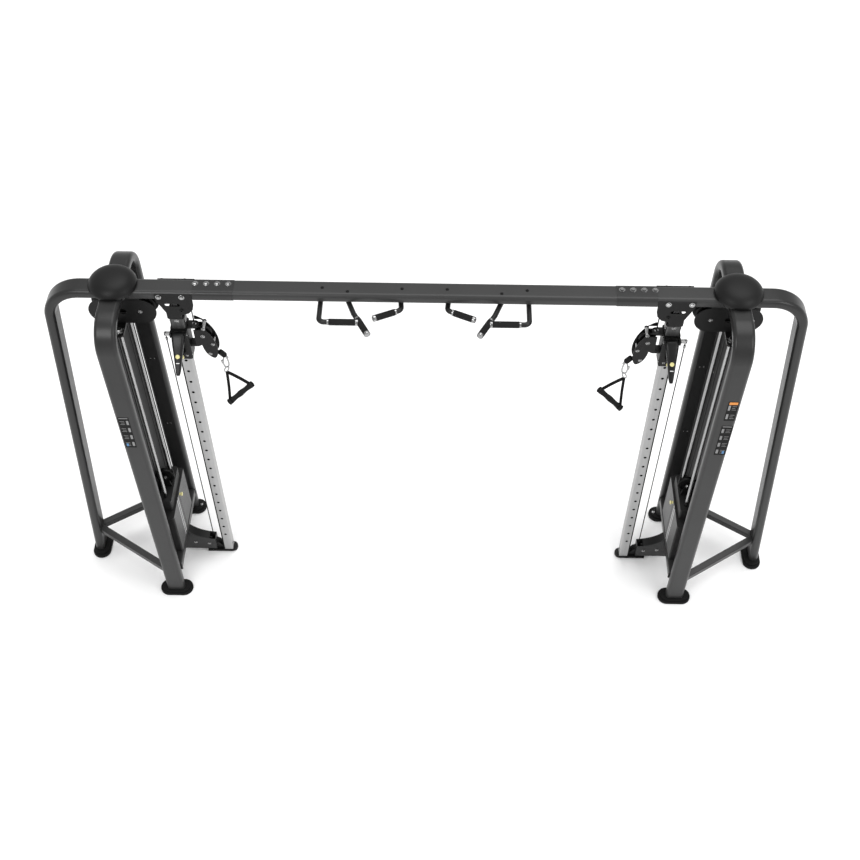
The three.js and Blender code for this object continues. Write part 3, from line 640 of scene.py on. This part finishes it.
def foot(x, y, along_x):
    """A rubber pad: a wide sole with a raised collar round the leg."""
    def placed(outline):
        return [(x + a, y + b) if along_x else (x + b, y + a) for a, b in outline]

    return [slab(placed(obround(-44, 44, 0, 53.5)), 0, 19, "XY"),
            slab(placed(obround(-38, 38, 0, 44)), 18.6, PAD_HEIGHT, "XY")]


for name, x, y, along_x in (
    ("front_foot", TOWER_X, -FOOT_Y, True), ("rear_foot", TOWER_X, FOOT_Y, True),
    ("outer_foot", OUTER_PAD_X, 0, False),
):
    tower(name, foot(x, y, along_x), RUBBER, bevel=3.5)
tower("rear_foot_screw", [bolt((TOWER_X - 70, FOOT_Y, PAD_HEIGHT), Z, 6)], CHROME)

# Shroud panel behind the stack.
panel = slab(rounded(*SHROUD_SIZE, 18, 0, SHROUD_Z), *SHROUD_X, "YZ")
rib_x = (SHROUD_X[0] - 3, SHROUD_X[0] + 0.5)
ribs = [slab(rounded(16, 1540, 8, y, SHROUD_Z), *rib_x, "YZ") for y in (-200, 200)]
tower("stack_shroud", [panel, *ribs], PANEL, bevel=1.2)
panel_bolts = [bolt((SHROUD_X[0], end * 245, z), -X, 6) for end in (-1, 1) for z in SCREW_Z]
tower("shroud_screws", panel_bolts, CHROME)
leg_screws = [lathe([(5, 0), (5, 1.2), (3.4, 2.4), (0, 2.4)], (TOWER_X + dx, LEG_Y - THIN / 2, z), -Y)
              for z in SCREW_Z[1:3] for dx in (-11, 11)]
tower("rear_leg_screws", leg_screws, CHROME)

# Weight stack.
rods = both_ends(lambda end: rod(10, (ROD_X, end * ROD_Y, BASE_Z[1] + 0.3), (ROD_X, end * ROD_Y, ROD_TOP), 2))
tower("guide_rods", rods, ROD)
tie = slab(rounded(48, 248, 14, ROD_X, 0), ROD_TOP - 14, ROD_TOP - 2, "XY",
           [circle(10.4, ROD_X, end * ROD_Y) for end in (-1, 1)])
tower("rod_tie", [tie], BLACK, bevel=1.5)
rod_nuts = both_ends(lambda end: hex_bolt((ROD_X, end * ROD_Y, ROD_TOP - 2), Z, 15))
tower("rod_nuts", rod_nuts, CHROME)
stack_x = sum(PLATE_X) / 2
bores = [circle(11, ROD_X, end * ROD_Y) for end in (-1, 1)]


def plates(low, high, count):
    pitch = (high - low) / count
    outline = rounded(PLATE_X[1] - PLATE_X[0], 370, 8, stack_x, 0)
    return [slab(outline, low + i * pitch, low + (i + 1) * pitch - 0.8, "XY", bores) for i in range(count)]


def selector_holes(low, high, count):
    pitch = (high - low) / count
    profile = [(9.5, 0), (9.5, 0.5), (8.6, 0.9), (6.6, 0.9), (6.2, 0.1), (0, 0.1)]
    return [lathe(profile, (PLATE_X[0], 0, low + (i + 0.42) * pitch), -X) for i in range(count)]


def strips(low, high):
    """Two light lines of the weight scale down the plates' inner faces."""
    outlines = [rounded(5, high - low - 2, 1, y, (low + high) / 2, 2) for y in (-58, -34)]
    return [slab(outline, PLATE_X[0] - 1.2, PLATE_X[0] - 0.4, "YZ") for outline in outlines]


def lit_faces_of(low, high, count):
    """Thin sheets on the plates' inner faces, lighter than the iron: painted light for the lit side."""
    pitch = (high - low) / count
    outlines = [rounded(350, pitch - 2.6, 3, 0, low + (i + 0.5) * pitch, 3) for i in range(count)]
    return [slab(outline, PLATE_X[0] - 0.5, PLATE_X[0] + 0.2, "YZ") for outline in outlines]


standing = (STACK_BOTTOM, STACK_SPLIT, FIXED_PLATES)
tower("fixed_weights", plates(*standing), IRON, bevel=1.6)
tower("fixed_weight_holes", selector_holes(*standing), BLACK)
tower("fixed_weight_faces", lit_faces_of(*standing), LIT_FACE)
tower("lifting_weight_faces", lit_faces_of(STACK_SPLIT, STACK_TOP, 1), LIT_FACE, "stack_body")
tower("fixed_weight_scale", strips(STACK_BOTTOM, STACK_SPLIT), SCALE)
yoke_outline = arc(STACK[0], STACK[1], 20, 0, 180, 16) + [(1478, HEAD_TOP - 3), (1538, HEAD_TOP - 3)]
block = slab(rounded(70, 260, 10, stack_x, 0), STACK_TOP, HEAD_TOP, "XY", bores)
tower("lifting_weights", plates(STACK_SPLIT + 0.3, STACK_TOP + 0.8, 1), IRON, "stack_body", bevel=1.6)
tower("head_block", [block], IRON, "stack_body", bevel=3)
tower("stack_yoke", cheeks(yoke_outline, 13, 17), BLACK, "stack_body", bevel=0.8)
tower("stack_yoke_bolts", cheek_bolts([STACK], 17, 9, hex_bolt), CHROME, "stack_body")
tower("lifting_weight_scale", strips(STACK_SPLIT, STACK_TOP), SCALE, "stack_body")
tower("selector_pin", [rod(5, (PLATE_X[0] - 10, 0, SELECTOR_Z), (PLATE_X[0] + 45, 0, SELECTOR_Z))], CHROME,
      "selector_body", slot="polished_rod")
knob = [(0, 0), (9, 0.4), (11.6, 2.5), (12, 5), (10.6, 8), (8.4, 11), (8, 15), (9, 18), (7, 18.6), (0, 18.6)]
tower("selector_knob", [lathe(knob, (PLATE_X[0] - 22, 0, SELECTOR_Z), X, 40)], YELLOW,
      "selector_body", ["selector_pin"])


def sheave(x, z, r):
    """A grooved nylon wheel and its steel bearing."""
    rim, root, half = r + 5, r - CABLE - 0.4, 10
    hub_r, web = 14, 5.5
    turns = [math.radians(t) for t in range(-75, 76, 15)]
    groove = [(root + (rim - 1 - root) * (1 - math.cos(t)), (half - 1.6) * math.sin(t)) for t in turns]
    rise = [(hub_r, -half), (hub_r + 1, -web)]
    if root - 6 > hub_r + 6:
        rise += [(root - 6, -web), (root - 3, -half)]
    rise += [(rim - 1, -half), (rim, -half + 0.6)]
    fall = [(r, -along) for r, along in reversed(rise)]
    profile = [(10, -half), *rise, *groove, *fall, (10, half), (10, -half)]
    bearing = [(6.7, -8), (9.7, -8), (9.7, 8), (6.7, 8), (6.7, -8)]
    return lathe(profile, (x, 0, z), Y, 48), lathe(bearing, (x, 0, z), Y, 32)


for name, body, place in (
    ("head_pulley", "head_sheave", HEAD), ("bracket_pulley", "bracket_sheave", BRACKET),
    ("inner_top_pulley", "inner_top_sheave", INNER_TOP), ("stack_pulley", "stack_sheave", STACK),
    ("outer_top_pulley", "outer_top_sheave", OUTER_TOP), ("base_pulley", "base_sheave", BASE),
    ("arm_pulley", "arm_sheave", ARM),
):
    wheel, bearing = sheave(*place)
    tower(name, [wheel], NYLON, body)
    tower(f"{name}_bearing", [bearing], CHROME, body, slot="polished_rod")

# Housing of the two top sheaves.
housing = cheeks(obround(INNER_TOP[0], 1569, INNER_TOP[1], 80, 28), HOUSING_HALF - 5, HOUSING_HALF,
                 [circle(17, 1480, INNER_TOP[1])])
roof = slab(rounded(194, 2 * HOUSING_HALF, 5, 1482, 0), HOUSING_TOP - 13, HOUSING_TOP, "XY")
tower("pulley_housing", housing + [roof], BLACK, bevel=1.2)
tower("housing_axles", [axle(INNER_TOP, 34), axle(OUTER_TOP, 34), axle(BASE, 12)], ROD)
housing_bolts = cheek_bolts([INNER_TOP, OUTER_TOP], HOUSING_HALF)
tower("housing_bolts", housing_bolts + cheek_bolts([BASE], 16, 9, hex_bolt), CHROME)

# Column: a square tube whose front wall carries the row of holes.
half = COLUMN_HALF
inner, flat = half - COLUMN_WALL, half - 5
holes = [circle(HOLE_RADIUS, COLUMN_X, HOLE_FIRST + i * HOLE_PITCH, 20) for i in range(HOLE_COUNT)]
front = slab(rectangle((COLUMN_X - flat, COLUMN_X + flat), COLUMN_Z), -half, -inner, holes=holes)
outside = rounded(2 * half, 2 * half, 5, COLUMN_X, 0)
inside = rounded(2 * inner, 2 * inner, 2, COLUMN_X, 0, 3)
back = slab(outside[-7:] + outside[:-7] + (inside[-4:] + inside[:-4])[::-1], *COLUMN_Z, "XY")
tower("column", [front, back], COLUMN)
eyelet = [(6.3, -0.2), (8, -0.2), (8, 0), (6.8, 0.1), (6.8, 3), (6.3, 3), (6.3, -0.2)]
eyelets = [lathe(eyelet, (COLUMN_X, -half, HOLE_FIRST + i * HOLE_PITCH), Y, 20) for i in range(HOLE_COUNT)]
# A dark sheet inside the tube behind the holes is painted shade, and a dark strip round the outboard front
# corner is painted shade for that edge.
hole_shade_sheet = box((COLUMN_X - flat, COLUMN_X + flat), (-21.4, -21), (COLUMN_Z[0] + 2, COLUMN_Z[1] - 2))
corner_shade_strip = box((COLUMN_X + 21.2, COLUMN_X + 28.15), (-28.15, -23), COLUMN_Z)
tower("column_eyelets", eyelets + [hole_shade_sheet, corner_shade_strip], RUBBER, slot="column_silver")
tower("column_bolts", both_ends(lambda end: bolt((COLUMN_X + end * half, -8, 72), X * end, 7)), CHROME)
bumper = slab(rounded(82, 82, 10, COLUMN_X, 0), 2076, 2095, "XY", [rounded(56.6, 56.6, 5, COLUMN_X, 0)])
tower("column_bumper", [bumper], RUBBER, bevel=3)

# Bracket that hangs the column from the beam.
lowest = BRACKET_FOOT[0]
bracket_outline = [(1303, 2259), (1303, 2226), (1262, 2138), (1262, lowest), (1192, lowest), (1192, 2121),
                   (1150, 2134), (1128, 2160), (1121, 2190), (1121, 2259)]
bracket = cheeks(bracket_outline, BRACKET_HALF - 5, BRACKET_HALF, [rounded(74, 17, 8, 1224, 2190)])
saddle = slab(rounded(104, 107, 3, 1248, 0), 2201, BEAM_UNDER - 0.3, "XY")
socket = [box((1192, 1262), y, BRACKET_FOOT) for y in ((28.3, 53.5), (-53.5, -28.3))]
socket_back = box((1254.4, 1262), (-28.3, 28.3), BRACKET_FOOT)
tower("column_bracket", bracket + [saddle, *socket, socket_back], BLACK, bevel=1)
tower("bracket_axle", [axle(BRACKET, 52)], ROD)
tower("bracket_bolts", cheek_bolts([(1283, 2244), (1171, 2244)], BRACKET_HALF, 10, hex_bolt), CHROME)
tower("bracket_sheave_screws", cheek_bolts([BRACKET], BRACKET_HALF), BLACK)

# Lower arm: side plates with a curved cover between them, and the base plate under the column.
under = BASE_Z[0] - 0.3
curve = quadratic((1451.7, 208), (1400, 138), (ARM_TOE_X, 126))
arm_outline = [(ARM_TOE_X, 30), (ARM_HEEL_X, 30), (ARM_HEEL_X, under), (1451.7, under)] + curve
arm_ends = [box((ARM_TOE_X, 1300), (-25, 25), (30, 125)), box((1300, 1451), (-25, 25), (30, 36))]
cover_curve = [(x, z - 1) for x, z in curve if x > 1322]
cover = slab(cover_curve + [(x, z - 4) for x, z in reversed(cover_curve)], -25, 25)
tower("lower_arm", cheeks(arm_outline, 25, ARM_HALF) + arm_ends, PAINT, bevel=1)
foot_plate = slab(arc(1206, 0, 34, 90, 270, 20) + [(1353, -34), (1353, 34)], 7, 22, "XY")
gusset = slab([(1254.4, 22), (1296, 22), (1296, 90), (1276, 78), (1254.4, 40)], -20, 20)
link = box((1296, 1352), (-28, 28), (21.5, 30))
tower("arm_foot", [cover, foot_plate, gusset, link], BLACK, bevel=1.2)
tower("arm_axle", [axle(ARM, 25)], ROD)
tower("arm_bolts", cheek_bolts([ARM, (1420, 96)], ARM_HALF), CHROME)

# Carriage on the column.
column_hole = [rounded(57.6, 57.6, 4, COLUMN_X, 0, 3)]
body_tube = slab(rounded(2 * SLEEVE_HALF, 2 * SLEEVE_HALF, 9, COLUMN_X, 0), *SLEEVE_Z, "XY", column_hole)
neck = slab(rounded(72, 72, 8, COLUMN_X, 0), SLEEVE_Z[1] - 0.5, NECK_TOP, "XY", column_hole)


def lug(z, hole):
    outline = arc(SWIVEL_X, 0, 24, 90, 270, 20) + [(1186, -24), (1186, 24)]
    return slab(outline, z, z + 12, "XY", [circle(hole, SWIVEL_X, 0)])


lever_y, lever_z = LEVER_PIVOT
ears = [slab(rounded(34, 30, 8, -56, lever_z), x - 4, x + 4, "YZ") for x in (COLUMN_X - 38, COLUMN_X + 38)]
boss_profile = [(7.2, 0), (13, 0), (13, 16), (11.5, 17), (7.2, 17), (7.2, 0)]
boss = lathe(boss_profile, (COLUMN_X, 0.5 - SLEEVE_HALF, LOCK_Z), -Y, 36)
eye_outline = arc(ANCHOR[0], 0, 9, -90, 90, 14) + [(1266, 5), (1266, -5)]
eye_arm = slab(eye_outline, ANCHOR[1] - 8, ANCHOR[1] + 8, "XY", [circle(3.6, ANCHOR[0], 0)])
tower("carriage_neck", [neck], NECK, "carriage_body", ["carriage"], 1.5)
tower("carriage", [body_tube, lug(SLEEVE_Z[1] - 12, 12.6), lug(LOWER_LUG_Z, 8.8), *ears, boss], BLACK,
      "carriage_body", bevel=1.5)
tower("anchor_eye", [eye_arm], CHROME, "carriage_body", bevel=1)
liners = [slab(rounded(s, s, 7, COLUMN_X, 0), z, z + 4, "XY", column_hole)
          for s, z in ((80, 1786.2), (70, NECK_TOP - 0.2))]
tower("carriage_liners", liners, PLASTIC, "carriage_body", bevel=0.8)
carriage_bolts = [bolt((COLUMN_X + x, y, z), axis, radius) for x, y, z, axis, radius in (
    (0, -36, 2059, -Y, 8), (36, -14, 2040, X, 6), (-36, -14, 2040, -X, 6),
    (-SLEEVE_HALF, -30, 1818, -X, 6), (SLEEVE_HALF, 0, 1818, X, 6),
    (16, -SLEEVE_HALF, 1814, -Y, 5), (-16, -SLEEVE_HALF, 1814, -Y, 5),
    (-SLEEVE_HALF, lever_y, lever_z, -X, 5), (SLEEVE_HALF, lever_y, lever_z, X, 5))]
tower("carriage_bolts", carriage_bolts, CHROME, "carriage_body")
lever_axle = rod(5, (COLUMN_X - 36, lever_y, lever_z), (COLUMN_X + 36, lever_y, lever_z), 0.5)
tower("lever_pivot", [lever_axle], ROD, "carriage_body")

# Release lever: a moulded blade, wide at its pivot and narrow at its tip.
# Each station is the top edge and the bottom edge, both y and z, and half the width.
lever_stations = [
    (-52, 1997, -52, 1975, 33), (-74, 1999, -72, 1963, 33), (-110, 1968, -88, 1943, 29),
    (-144, 1928, -114, 1913, 23), (-176, 1890, -142, 1882, 17.5), (-205, 1858, -178, 1850, 12),
    (-212, 1848, -203, 1843, 8)]


def smooth_rows(rows, steps=5):
    """Rows of numbers on one smooth curve through the given rows."""
    found = []
    for i in range(len(rows) - 1):
        p = [rows[max(i - 1, 0)], rows[i], rows[i + 1], rows[min(i + 2, len(rows) - 1)]]
        for k in range(steps):
            t = k / steps
            found.append([0.5 * (2 * b + (c - a) * t + (2 * a - 5 * b + 4 * c - d) * t * t
                                 + (3 * b - a - 3 * c + d) * t ** 3) for a, b, c, d in zip(*p)])
    return found + [list(rows[-1])]


def squared(v):
    """Pushes the sine or cosine of a round ring towards a square one."""
    return math.copysign(abs(v) ** 0.5, v)


def lever_blade():
    points, faces, ring = [], [], 28
    rows = smooth_rows(lever_stations)
    for top_y, top_z, low_y, low_z, w in rows:
        middle = Vector((COLUMN_X, (top_y + low_y) / 2, (top_z + low_z) / 2))
        up = Vector((0, top_y - low_y, top_z - low_z)) / 2
        for i in range(ring):
            t = 2 * math.pi * i / ring
            points.append(middle + X * w * squared(math.cos(t)) + up * squared(math.sin(t)))
    for k in range(len(rows) - 1):
        for i in range(ring):
            j = (i + 1) % ring
            faces.append([k * ring + i, k * ring + j, (k + 1) * ring + j, (k + 1) * ring + i])
    faces.append(list(range(ring))[::-1])
    faces.append([(len(rows) - 1) * ring + i for i in range(ring)])
    return points, [face[::-1] for face in faces]


tower("release_lever", [lever_blade()], PLASTIC, "lever_body")
slope = Vector((0, -0.74, 0.67)).normalized()
button = [(11, -4), (11, 2), (10, 4.6), (6.5, 6), (0, 6.4)]
tower("lever_button", [lathe(button, (COLUMN_X, -150, 1921), slope)], YELLOW, "lever_body")
mark = Vector((COLUMN_X, -171, 1895))
tower("lever_mark", [sweep(rounded(17, 4, 1.5), straight(mark - slope, mark + slope * 1.2), X)], SCALE,
      "lever_body", slot="lever_plastic")
tip = -COLUMN_HALF - 0.6
tower("lock_pin", [rod(5.5, (COLUMN_X, tip - 52, LOCK_Z), (COLUMN_X, tip, LOCK_Z), 1.2)], ROD, "lock_body")
pin_head = [(0, 0), (9, 0), (11, 2), (11, 8), (8.5, 12), (6, 14)]
tower("lock_pin_head", [lathe(pin_head, (COLUMN_X, tip - 58, LOCK_Z), Y)], YELLOW, "lock_body", ["lock_pin"])

# Swivel head: two crescent plates held apart by spacers.
notch = (SLEEVE_Z[1] - 16, SLEEVE_Z[1] + 4)
crescent = [(1156, 1880), (1156, notch[0]), (1117, notch[0]), (1117, notch[1]), (1156, notch[1]),
            (1156, 2034), (1146, 2031)]
crescent += bezier((1146, 2031), (1098, 2006), (1056, 1940), (1051, 1860), 18)
crescent += bezier((1051, 1860), (1049, 1826), (1056, 1794), (1072, 1786), 10)
crescent += bezier((1072, 1786), (1096, 1790), (1120, 1826), (1126, 1880), 12)
head_blocks = [box((1140, 1146), (-26, 26), (notch[0] - 8, notch[0])),
               box((1140, 1156), (-26, 26), (1880, 1892))]
collar_low, collar_top = notch[0] - 6, SLEEVE_Z[1] + 2
collar = lathe([(5.2, collar_low), (11.4, collar_low), (11.4, collar_top - 1), (10.6, collar_top),
                (5.2, collar_top), (5.2, collar_low)], (SWIVEL_X, 0, 0))
pivot = rod(8, (SWIVEL_X, 0, LOWER_LUG_Z), (SWIVEL_X, 0, 1884), 0.8)
tower("swivel_head", cheeks(crescent, 26, 31) + head_blocks, BLACK, "head_body", bevel=1.3)
spacer_places = [(1070, 1888), (1092, 1818), (1105, 1997)]
spacers = [lathe([(6, -26), (7.5, -24), (7.5, 24), (6, 26)], (x, 0, z), Y, 28) for x, z in spacer_places]
tower("head_spacers", spacers + [axle(HEAD, 26), collar, pivot], ROD, "head_body")
tower("head_bolts", cheek_bolts(spacer_places, 31, 7) + cheek_bolts([HEAD], 31), CHROME, "head_body")

# Cable stop, carabiner and ring.
out = Vector((-math.sin(EXIT), 0, -math.cos(EXIT)))
leave = Vector((HEAD[0] + HEAD[2] * math.cos(EXIT), 0, HEAD[1] - HEAD[2] * math.sin(EXIT)))
stop = [(3.4, 0), (8, 0), (13.4, 3), (15, 8), (15, 36), (13.4, 43), (10, 46), (3.4, 46), (3.4, 0)]
tower("cable_stop", [lathe(stop, leave + out * STOP_AT, out, 40)], RUBBER, "hook_body", ["snap_hook"])
ferrule = [(5, 0), (7.2, 0.6), (7.2, 9), (5, 10), (4, 20), (0, 21)]
links = [lathe(ferrule, leave + out * (STOP_AT + 44), out, 28)]


def ring_of(points, radius, side):
    count = len(points)
    stations = [(points[i], (points[(i + 1) % count] - points[i - 1]).normalized()) for i in range(count)]
    return sweep(circle(radius, steps=12), stations, side, closed=True)


def carabiner():
    """A pear-shaped hook, broad at its lower end."""
    found = []
    for i in range(48):
        t = 2 * math.pi * i / 48
        half_width = 13.5 - 4 * math.sin(t)
        found.append(Vector((APEX.x - 5 + half_width * math.cos(t), 0, APEX.z + 81 + 42 * math.sin(t))))
    return ring_of(found, 3.8, Y)


gate_knob = rod(5.6, (APEX.x + 12.5, 0, APEX.z + 70), (APEX.x + 14, 0, APEX.z + 92), 1.2)
ring_points = [Vector((APEX.x - 2 - 9.6 * math.cos(t), 11.6 * math.cos(t), APEX.z + 24 + 16 * math.sin(t)))
               for t in [2 * math.pi * i / 40 for i in range(40)]]
links += [carabiner(), gate_knob, ring_of(ring_points, 3, Vector((0.77, 0.64, 0)))]
tower("snap_hook", links, CHROME, "hook_body")

# Hand grip on its webbing.
near, far = GRIP_ENDS
grip_axis = (far - near).normalized()
grip_middle = (near + far) / 2
swell = [(13.6 + 2.8 * math.cos(math.pi * y / 70) ** 2, y) for y in range(-68, 69, 4)]
swell = [(11, -72), (13, -71), *swell, (13, 71), (11, 72)]
tower("hand_grip", [lathe(swell, grip_middle, grip_axis, 40)], GRIP, "grip_body")
grip_cap = [(12, 66), (17, 67), (17.6, 69), (17.6, 71), (14.2, 72), (14.2, 80), (17.4, 81), (17.4, 84),
            (15, 85.4), (0, 86)]
grip_caps = both_ends(lambda end: lathe(grip_cap, grip_middle, grip_axis * end, 40))
tower("grip_caps", grip_caps, PLASTIC, "grip_body")


def strap(end):
    """Webbing from the ring down to one end of the grip, sewn round it."""
    foot_at = grip_middle + grip_axis * end * 76.5
    top = APEX + Z * 2
    run = (foot_at - top).normalized()
    flat = run.cross(grip_axis * end).normalized()
    width = flat.cross(run).normalized()
    stations = []
    for i in range(17):
        t = i / 16
        stations.append((top.lerp(foot_at - run * 15, t) + width * end * 2 * math.sin(math.pi * t), run))
    section = rounded(17, 4, 1.8, steps=3)
    wrap = [(14.4, 72.6), (16.6, 72.6), (16.6, 79.6), (14.4, 79.6), (14.4, 72.6)]
    loop = lathe(wrap, grip_middle, grip_axis * end)
    return combined(sweep(section, stations, width), loop)


tower("grip_straps", both_ends(strap), WEBBING, "grip_body")

# ---- cable ----

ROUND = circle(CABLE, steps=12)


def run_of(a, b, count=60):
    a, b = Vector(a), Vector(b)
    return [(a.lerp(b, i / count), (b - a).normalized()) for i in range(count + 1)]


def bend_of(x, z, r, start, end, steps=20):
    """Cable wrapped on a sheave from one angle to another, in the tower's plane."""
    found = []
    sign = 1 if end > start else -1
    for i in range(steps + 1):
        t = math.radians(start + (end - start) * i / steps)
        along = Vector((-math.sin(t), 0, math.cos(t))) * sign
        found.append((Vector((x + r * math.cos(t), 0, z + r * math.sin(t))), along))
    return found


def cable_piece(name, stations, ride):
    for label, side in SIDES.items():
        obj = mesh_object(f"{label}_{name}", [sweep(ROUND, stations, Y)], CABLE_COAT, side=side)
        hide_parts(f"{label}_cable")
        ride(obj, label, side)


def rides(body):
    return lambda obj, label, side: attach(obj, body_of(label, body))


def stretches():
    """A straight run between two bodies that a slide joins."""
    def at(p, side):
        return side * p[0] * MM, p[1] * MM, p[2] * MM

    return lambda obj, label, side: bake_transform(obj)


def shrinks():
    """An upright run, attached to the frame with a mesh of its own."""
    def apply(obj, label, side):
        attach(obj, "frame")
        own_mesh(obj)

    return apply


def upright(x, z0, z1, count=2):
    return run_of((x, 0, z0), (x, 0, z1), count)


exit_deg = -math.degrees(EXIT)
cable_piece("cable_pull", run_of(leave, leave + out * (STOP_AT + 2)),
            stretches())
cable_piece("cable_head_bend", bend_of(*HEAD, exit_deg, 0), rides("head_body"))
cable_piece("cable_column_run", upright(SWIVEL_X, BRACKET[1], HEAD[1], 100),
            stretches())
top_run = bend_of(*BRACKET, 180, 90) + bend_of(*INNER_TOP, 90, 0)
cable_piece("cable_inner_top", top_run, rides("frame"))
cable_piece("cable_stack_inner", upright(STACK[0] - STACK[2], INNER_TOP[1], STACK[1]),
            shrinks())
cable_piece("cable_stack_bend", bend_of(*STACK, 180, 360, 36), rides("stack_body"))
cable_piece("cable_stack_outer", upright(STACK[0] + STACK[2], STACK[1], OUTER_TOP[1]),
            shrinks())
outer_run = bend_of(*OUTER_TOP, 180, 0, 36) + bend_of(*BASE, 0, -90) + bend_of(*ARM, -90, -180)
cable_piece("cable_outer_run", outer_run, rides("frame"))
cable_piece("cable_anchor_run", upright(ANCHOR[0], ARM[1], ANCHOR[1]),
            shrinks())
clevis = [(4, 0), (6, 0), (6, 16), (4.5, 18), (3.2, 18), (3.2, 0), (4, 0)]
tower("cable_clevis", [lathe(clevis, (ANCHOR[0], 0, ANCHOR[1] - 44), Z, 24)], CHROME, "carriage_body")

# ---- beam and pull-up handles ----

piece("beam", [frame_tube([(-BEAM_END, 0, BEAM_Z), (BEAM_END, 0, BEAM_Z)], Y)], PAINT)
splice_bolts = [hex_bolt((SPLICE[0] + 26 + i * 53.4, 12, BEAM_TOP + 2.3), Z, 10.5) for i in range(4)]
tower("splice_bolts", splice_bolts, CHROME)
beam_bolts = [bolt((side * x, y, BEAM_TOP), Z, 6)
              for x, y in ((494, 0), (371, -24), (109, 0)) for side in (-1, 1)]
piece("beam_bolts", beam_bolts, BLACK)

bars, grips, collars = [], [], []
for corners in HANDLES:
    for side in (-1, 1):
        spots = [Vector((side * x, y, HANDLE_Z)) for x, y in corners]
        start, end = spots[-2:]
        along = (end - start).normalized()
        length = (end - start).length
        line = bent_line([spots[0], spots[1], end - along * 3], HANDLE_BEND, 10)
        bars.append(sweep(circle(HANDLE_RADIUS, steps=20), line, Z))
        grip = [(14, 14), (16, 15), (16.3, 20), (16.3, length - 12), (15.6, length - 8), (14, length - 8)]
        grips.append(lathe(grip, start, along))
        collars.append(lathe([(13.2, 5), (15.6, 5.6), (15.6, 13.4), (13.2, 14)], start, along))
        cap = [(13, -8), (16.4, -7.6), (16.8, 1), (15.4, 5), (10, 8), (0, 9)]
        collars.append(lathe(cap, end, along))
mount = slab(rounded(1036, 26, 6, 0, -17), HANDLE_Z + 6, BEAM_UNDER - 0.3, "XY")
piece("pullup_bars", bars + [mount], HANDLE_PAINT, replaces=["pullup_handles"])
piece("pullup_grips", grips, GRIP)
piece("pullup_collars", collars, CHROME, slot="polished_rod")

# ---- placards: plain panels without lettering ----

def tile(x0, x1, z0, z1, lift, corner=2):
    """A thin sheet on the front leg, proud of it by lift."""
    outline = rounded(x1 - x0, z1 - z0, corner, (x0 + x1) / 2, (z0 + z1) / 2, 3)
    return slab(outline, LEG_FRONT - lift, LEG_FRONT + 0.2)


def placard(name, side, x0, x1, z0, z1, header):
    """A black plate with light panels: headed by an orange band, or with a thin title and a blue mark."""
    label = "left" if side < 0 else "right"
    width = x1 - x0
    sheets = [("plate", [tile(x0, x1, z0, z1, 0.6, 4)], LABEL_BLACK)]
    if not header:
        sheets.append(("title", [tile(x0 + 6, x1 - 6, z1 - 10, z1 - 5, 0.9, 1)], LABEL_LIGHT))
    rows = max(1, round((z1 - z0) / 62))
    pitch = (z1 - z0 - 14) / rows
    light = []
    for i in range(rows):
        low = z0 + 8 + i * pitch
        light.append(tile(x0 + 6, x0 + 6 + width * 0.2, low + 6, low + pitch * 0.66, 0.9))
        for k in range(3):
            line = low + pitch * (0.14 + 0.2 * k)
            light.append(tile(x0 + width * 0.46, x1 - 7 - 6 * (k % 2), line, line + 2.4, 0.9, 1))
    sheets.append(("panels", light, LABEL_LIGHT))
    if header:
        sheets.append(("band", [tile(x0 + 6, x1 - 6, z1 - 22, z1 - 4, 1.1)], LABEL_ORANGE))
    else:
        sheets.append(("mark", [tile(x1 - 20, x1 - 9, z0 + 12, z0 + 34, 1.1)], LABEL_BLUE))
    for part, shells, material in sheets:
        piece(f"{label}_{name}_{part}", shells, material, side=side)


placard("placard", -1, 1490, 1548, 1418, 1660, False)
placard("placard", 1, 1494, 1552, 1436, 1672, False)
placard("notice", 1, 1494, 1548, 1712, 1857, True)

# ---- stage, light and camera ----

floor_mesh = bpy.data.meshes.new("floor")
floor_mesh.from_pydata([(-60, -60, 0), (60, -60, 0), (60, 60, 0), (-60, 60, 0)], [], [(0, 1, 2, 3)])
floor_mesh.materials.append(coated("studio_floor", None, 250, 252, (0.85, 0.95), grain=40, depth=0.05,
                                   strength=0.05, specular=0.1))
floor = in_scene("floor", floor_mesh)

world = bpy.data.worlds.new("studio")
world.use_nodes = True
background = world.node_tree.nodes["Background"]
background.inputs["Color"].default_value = (1, 1, 1, 1)
background.inputs["Strength"].default_value = 0.72
bpy.context.scene.world = world


def soft_light(name, place, aim, size, power):
    data = bpy.data.lights.new(name, "AREA")
    data.shape, data.size, data.energy = "DISK", size, power
    lamp = in_scene(name, data)
    lamp.location = place
    lamp.rotation_euler = (Vector(aim) - Vector(place)).to_track_quat("-Z", "Y").to_euler()


sun = bpy.data.lights.new("overhead", "SUN")
sun.energy, sun.angle = 1.6, math.radians(50)
overhead = in_scene("overhead", sun)
overhead.rotation_euler = (math.radians(-14), math.radians(8), 0)
soft_light("key", (-3.0, -4.5, 6.5), (0, 0, 1.2), 3.0, 150)
soft_light("fill", (4.5, -3.0, 5.0), (0, 0, 1.2), 3.0, 100)

camera_data = bpy.data.cameras.new("camera")
camera_data.lens, camera_data.sensor_width = 51.785, 36
camera = in_scene("camera", camera_data)
camera.location = (0.1157, -4.286, 6.462)
camera.rotation_euler = (math.radians(39.132), 0, math.radians(1.203))
bpy.context.scene.camera = camera
bpy.context.scene.view_settings.view_transform = "Standard"
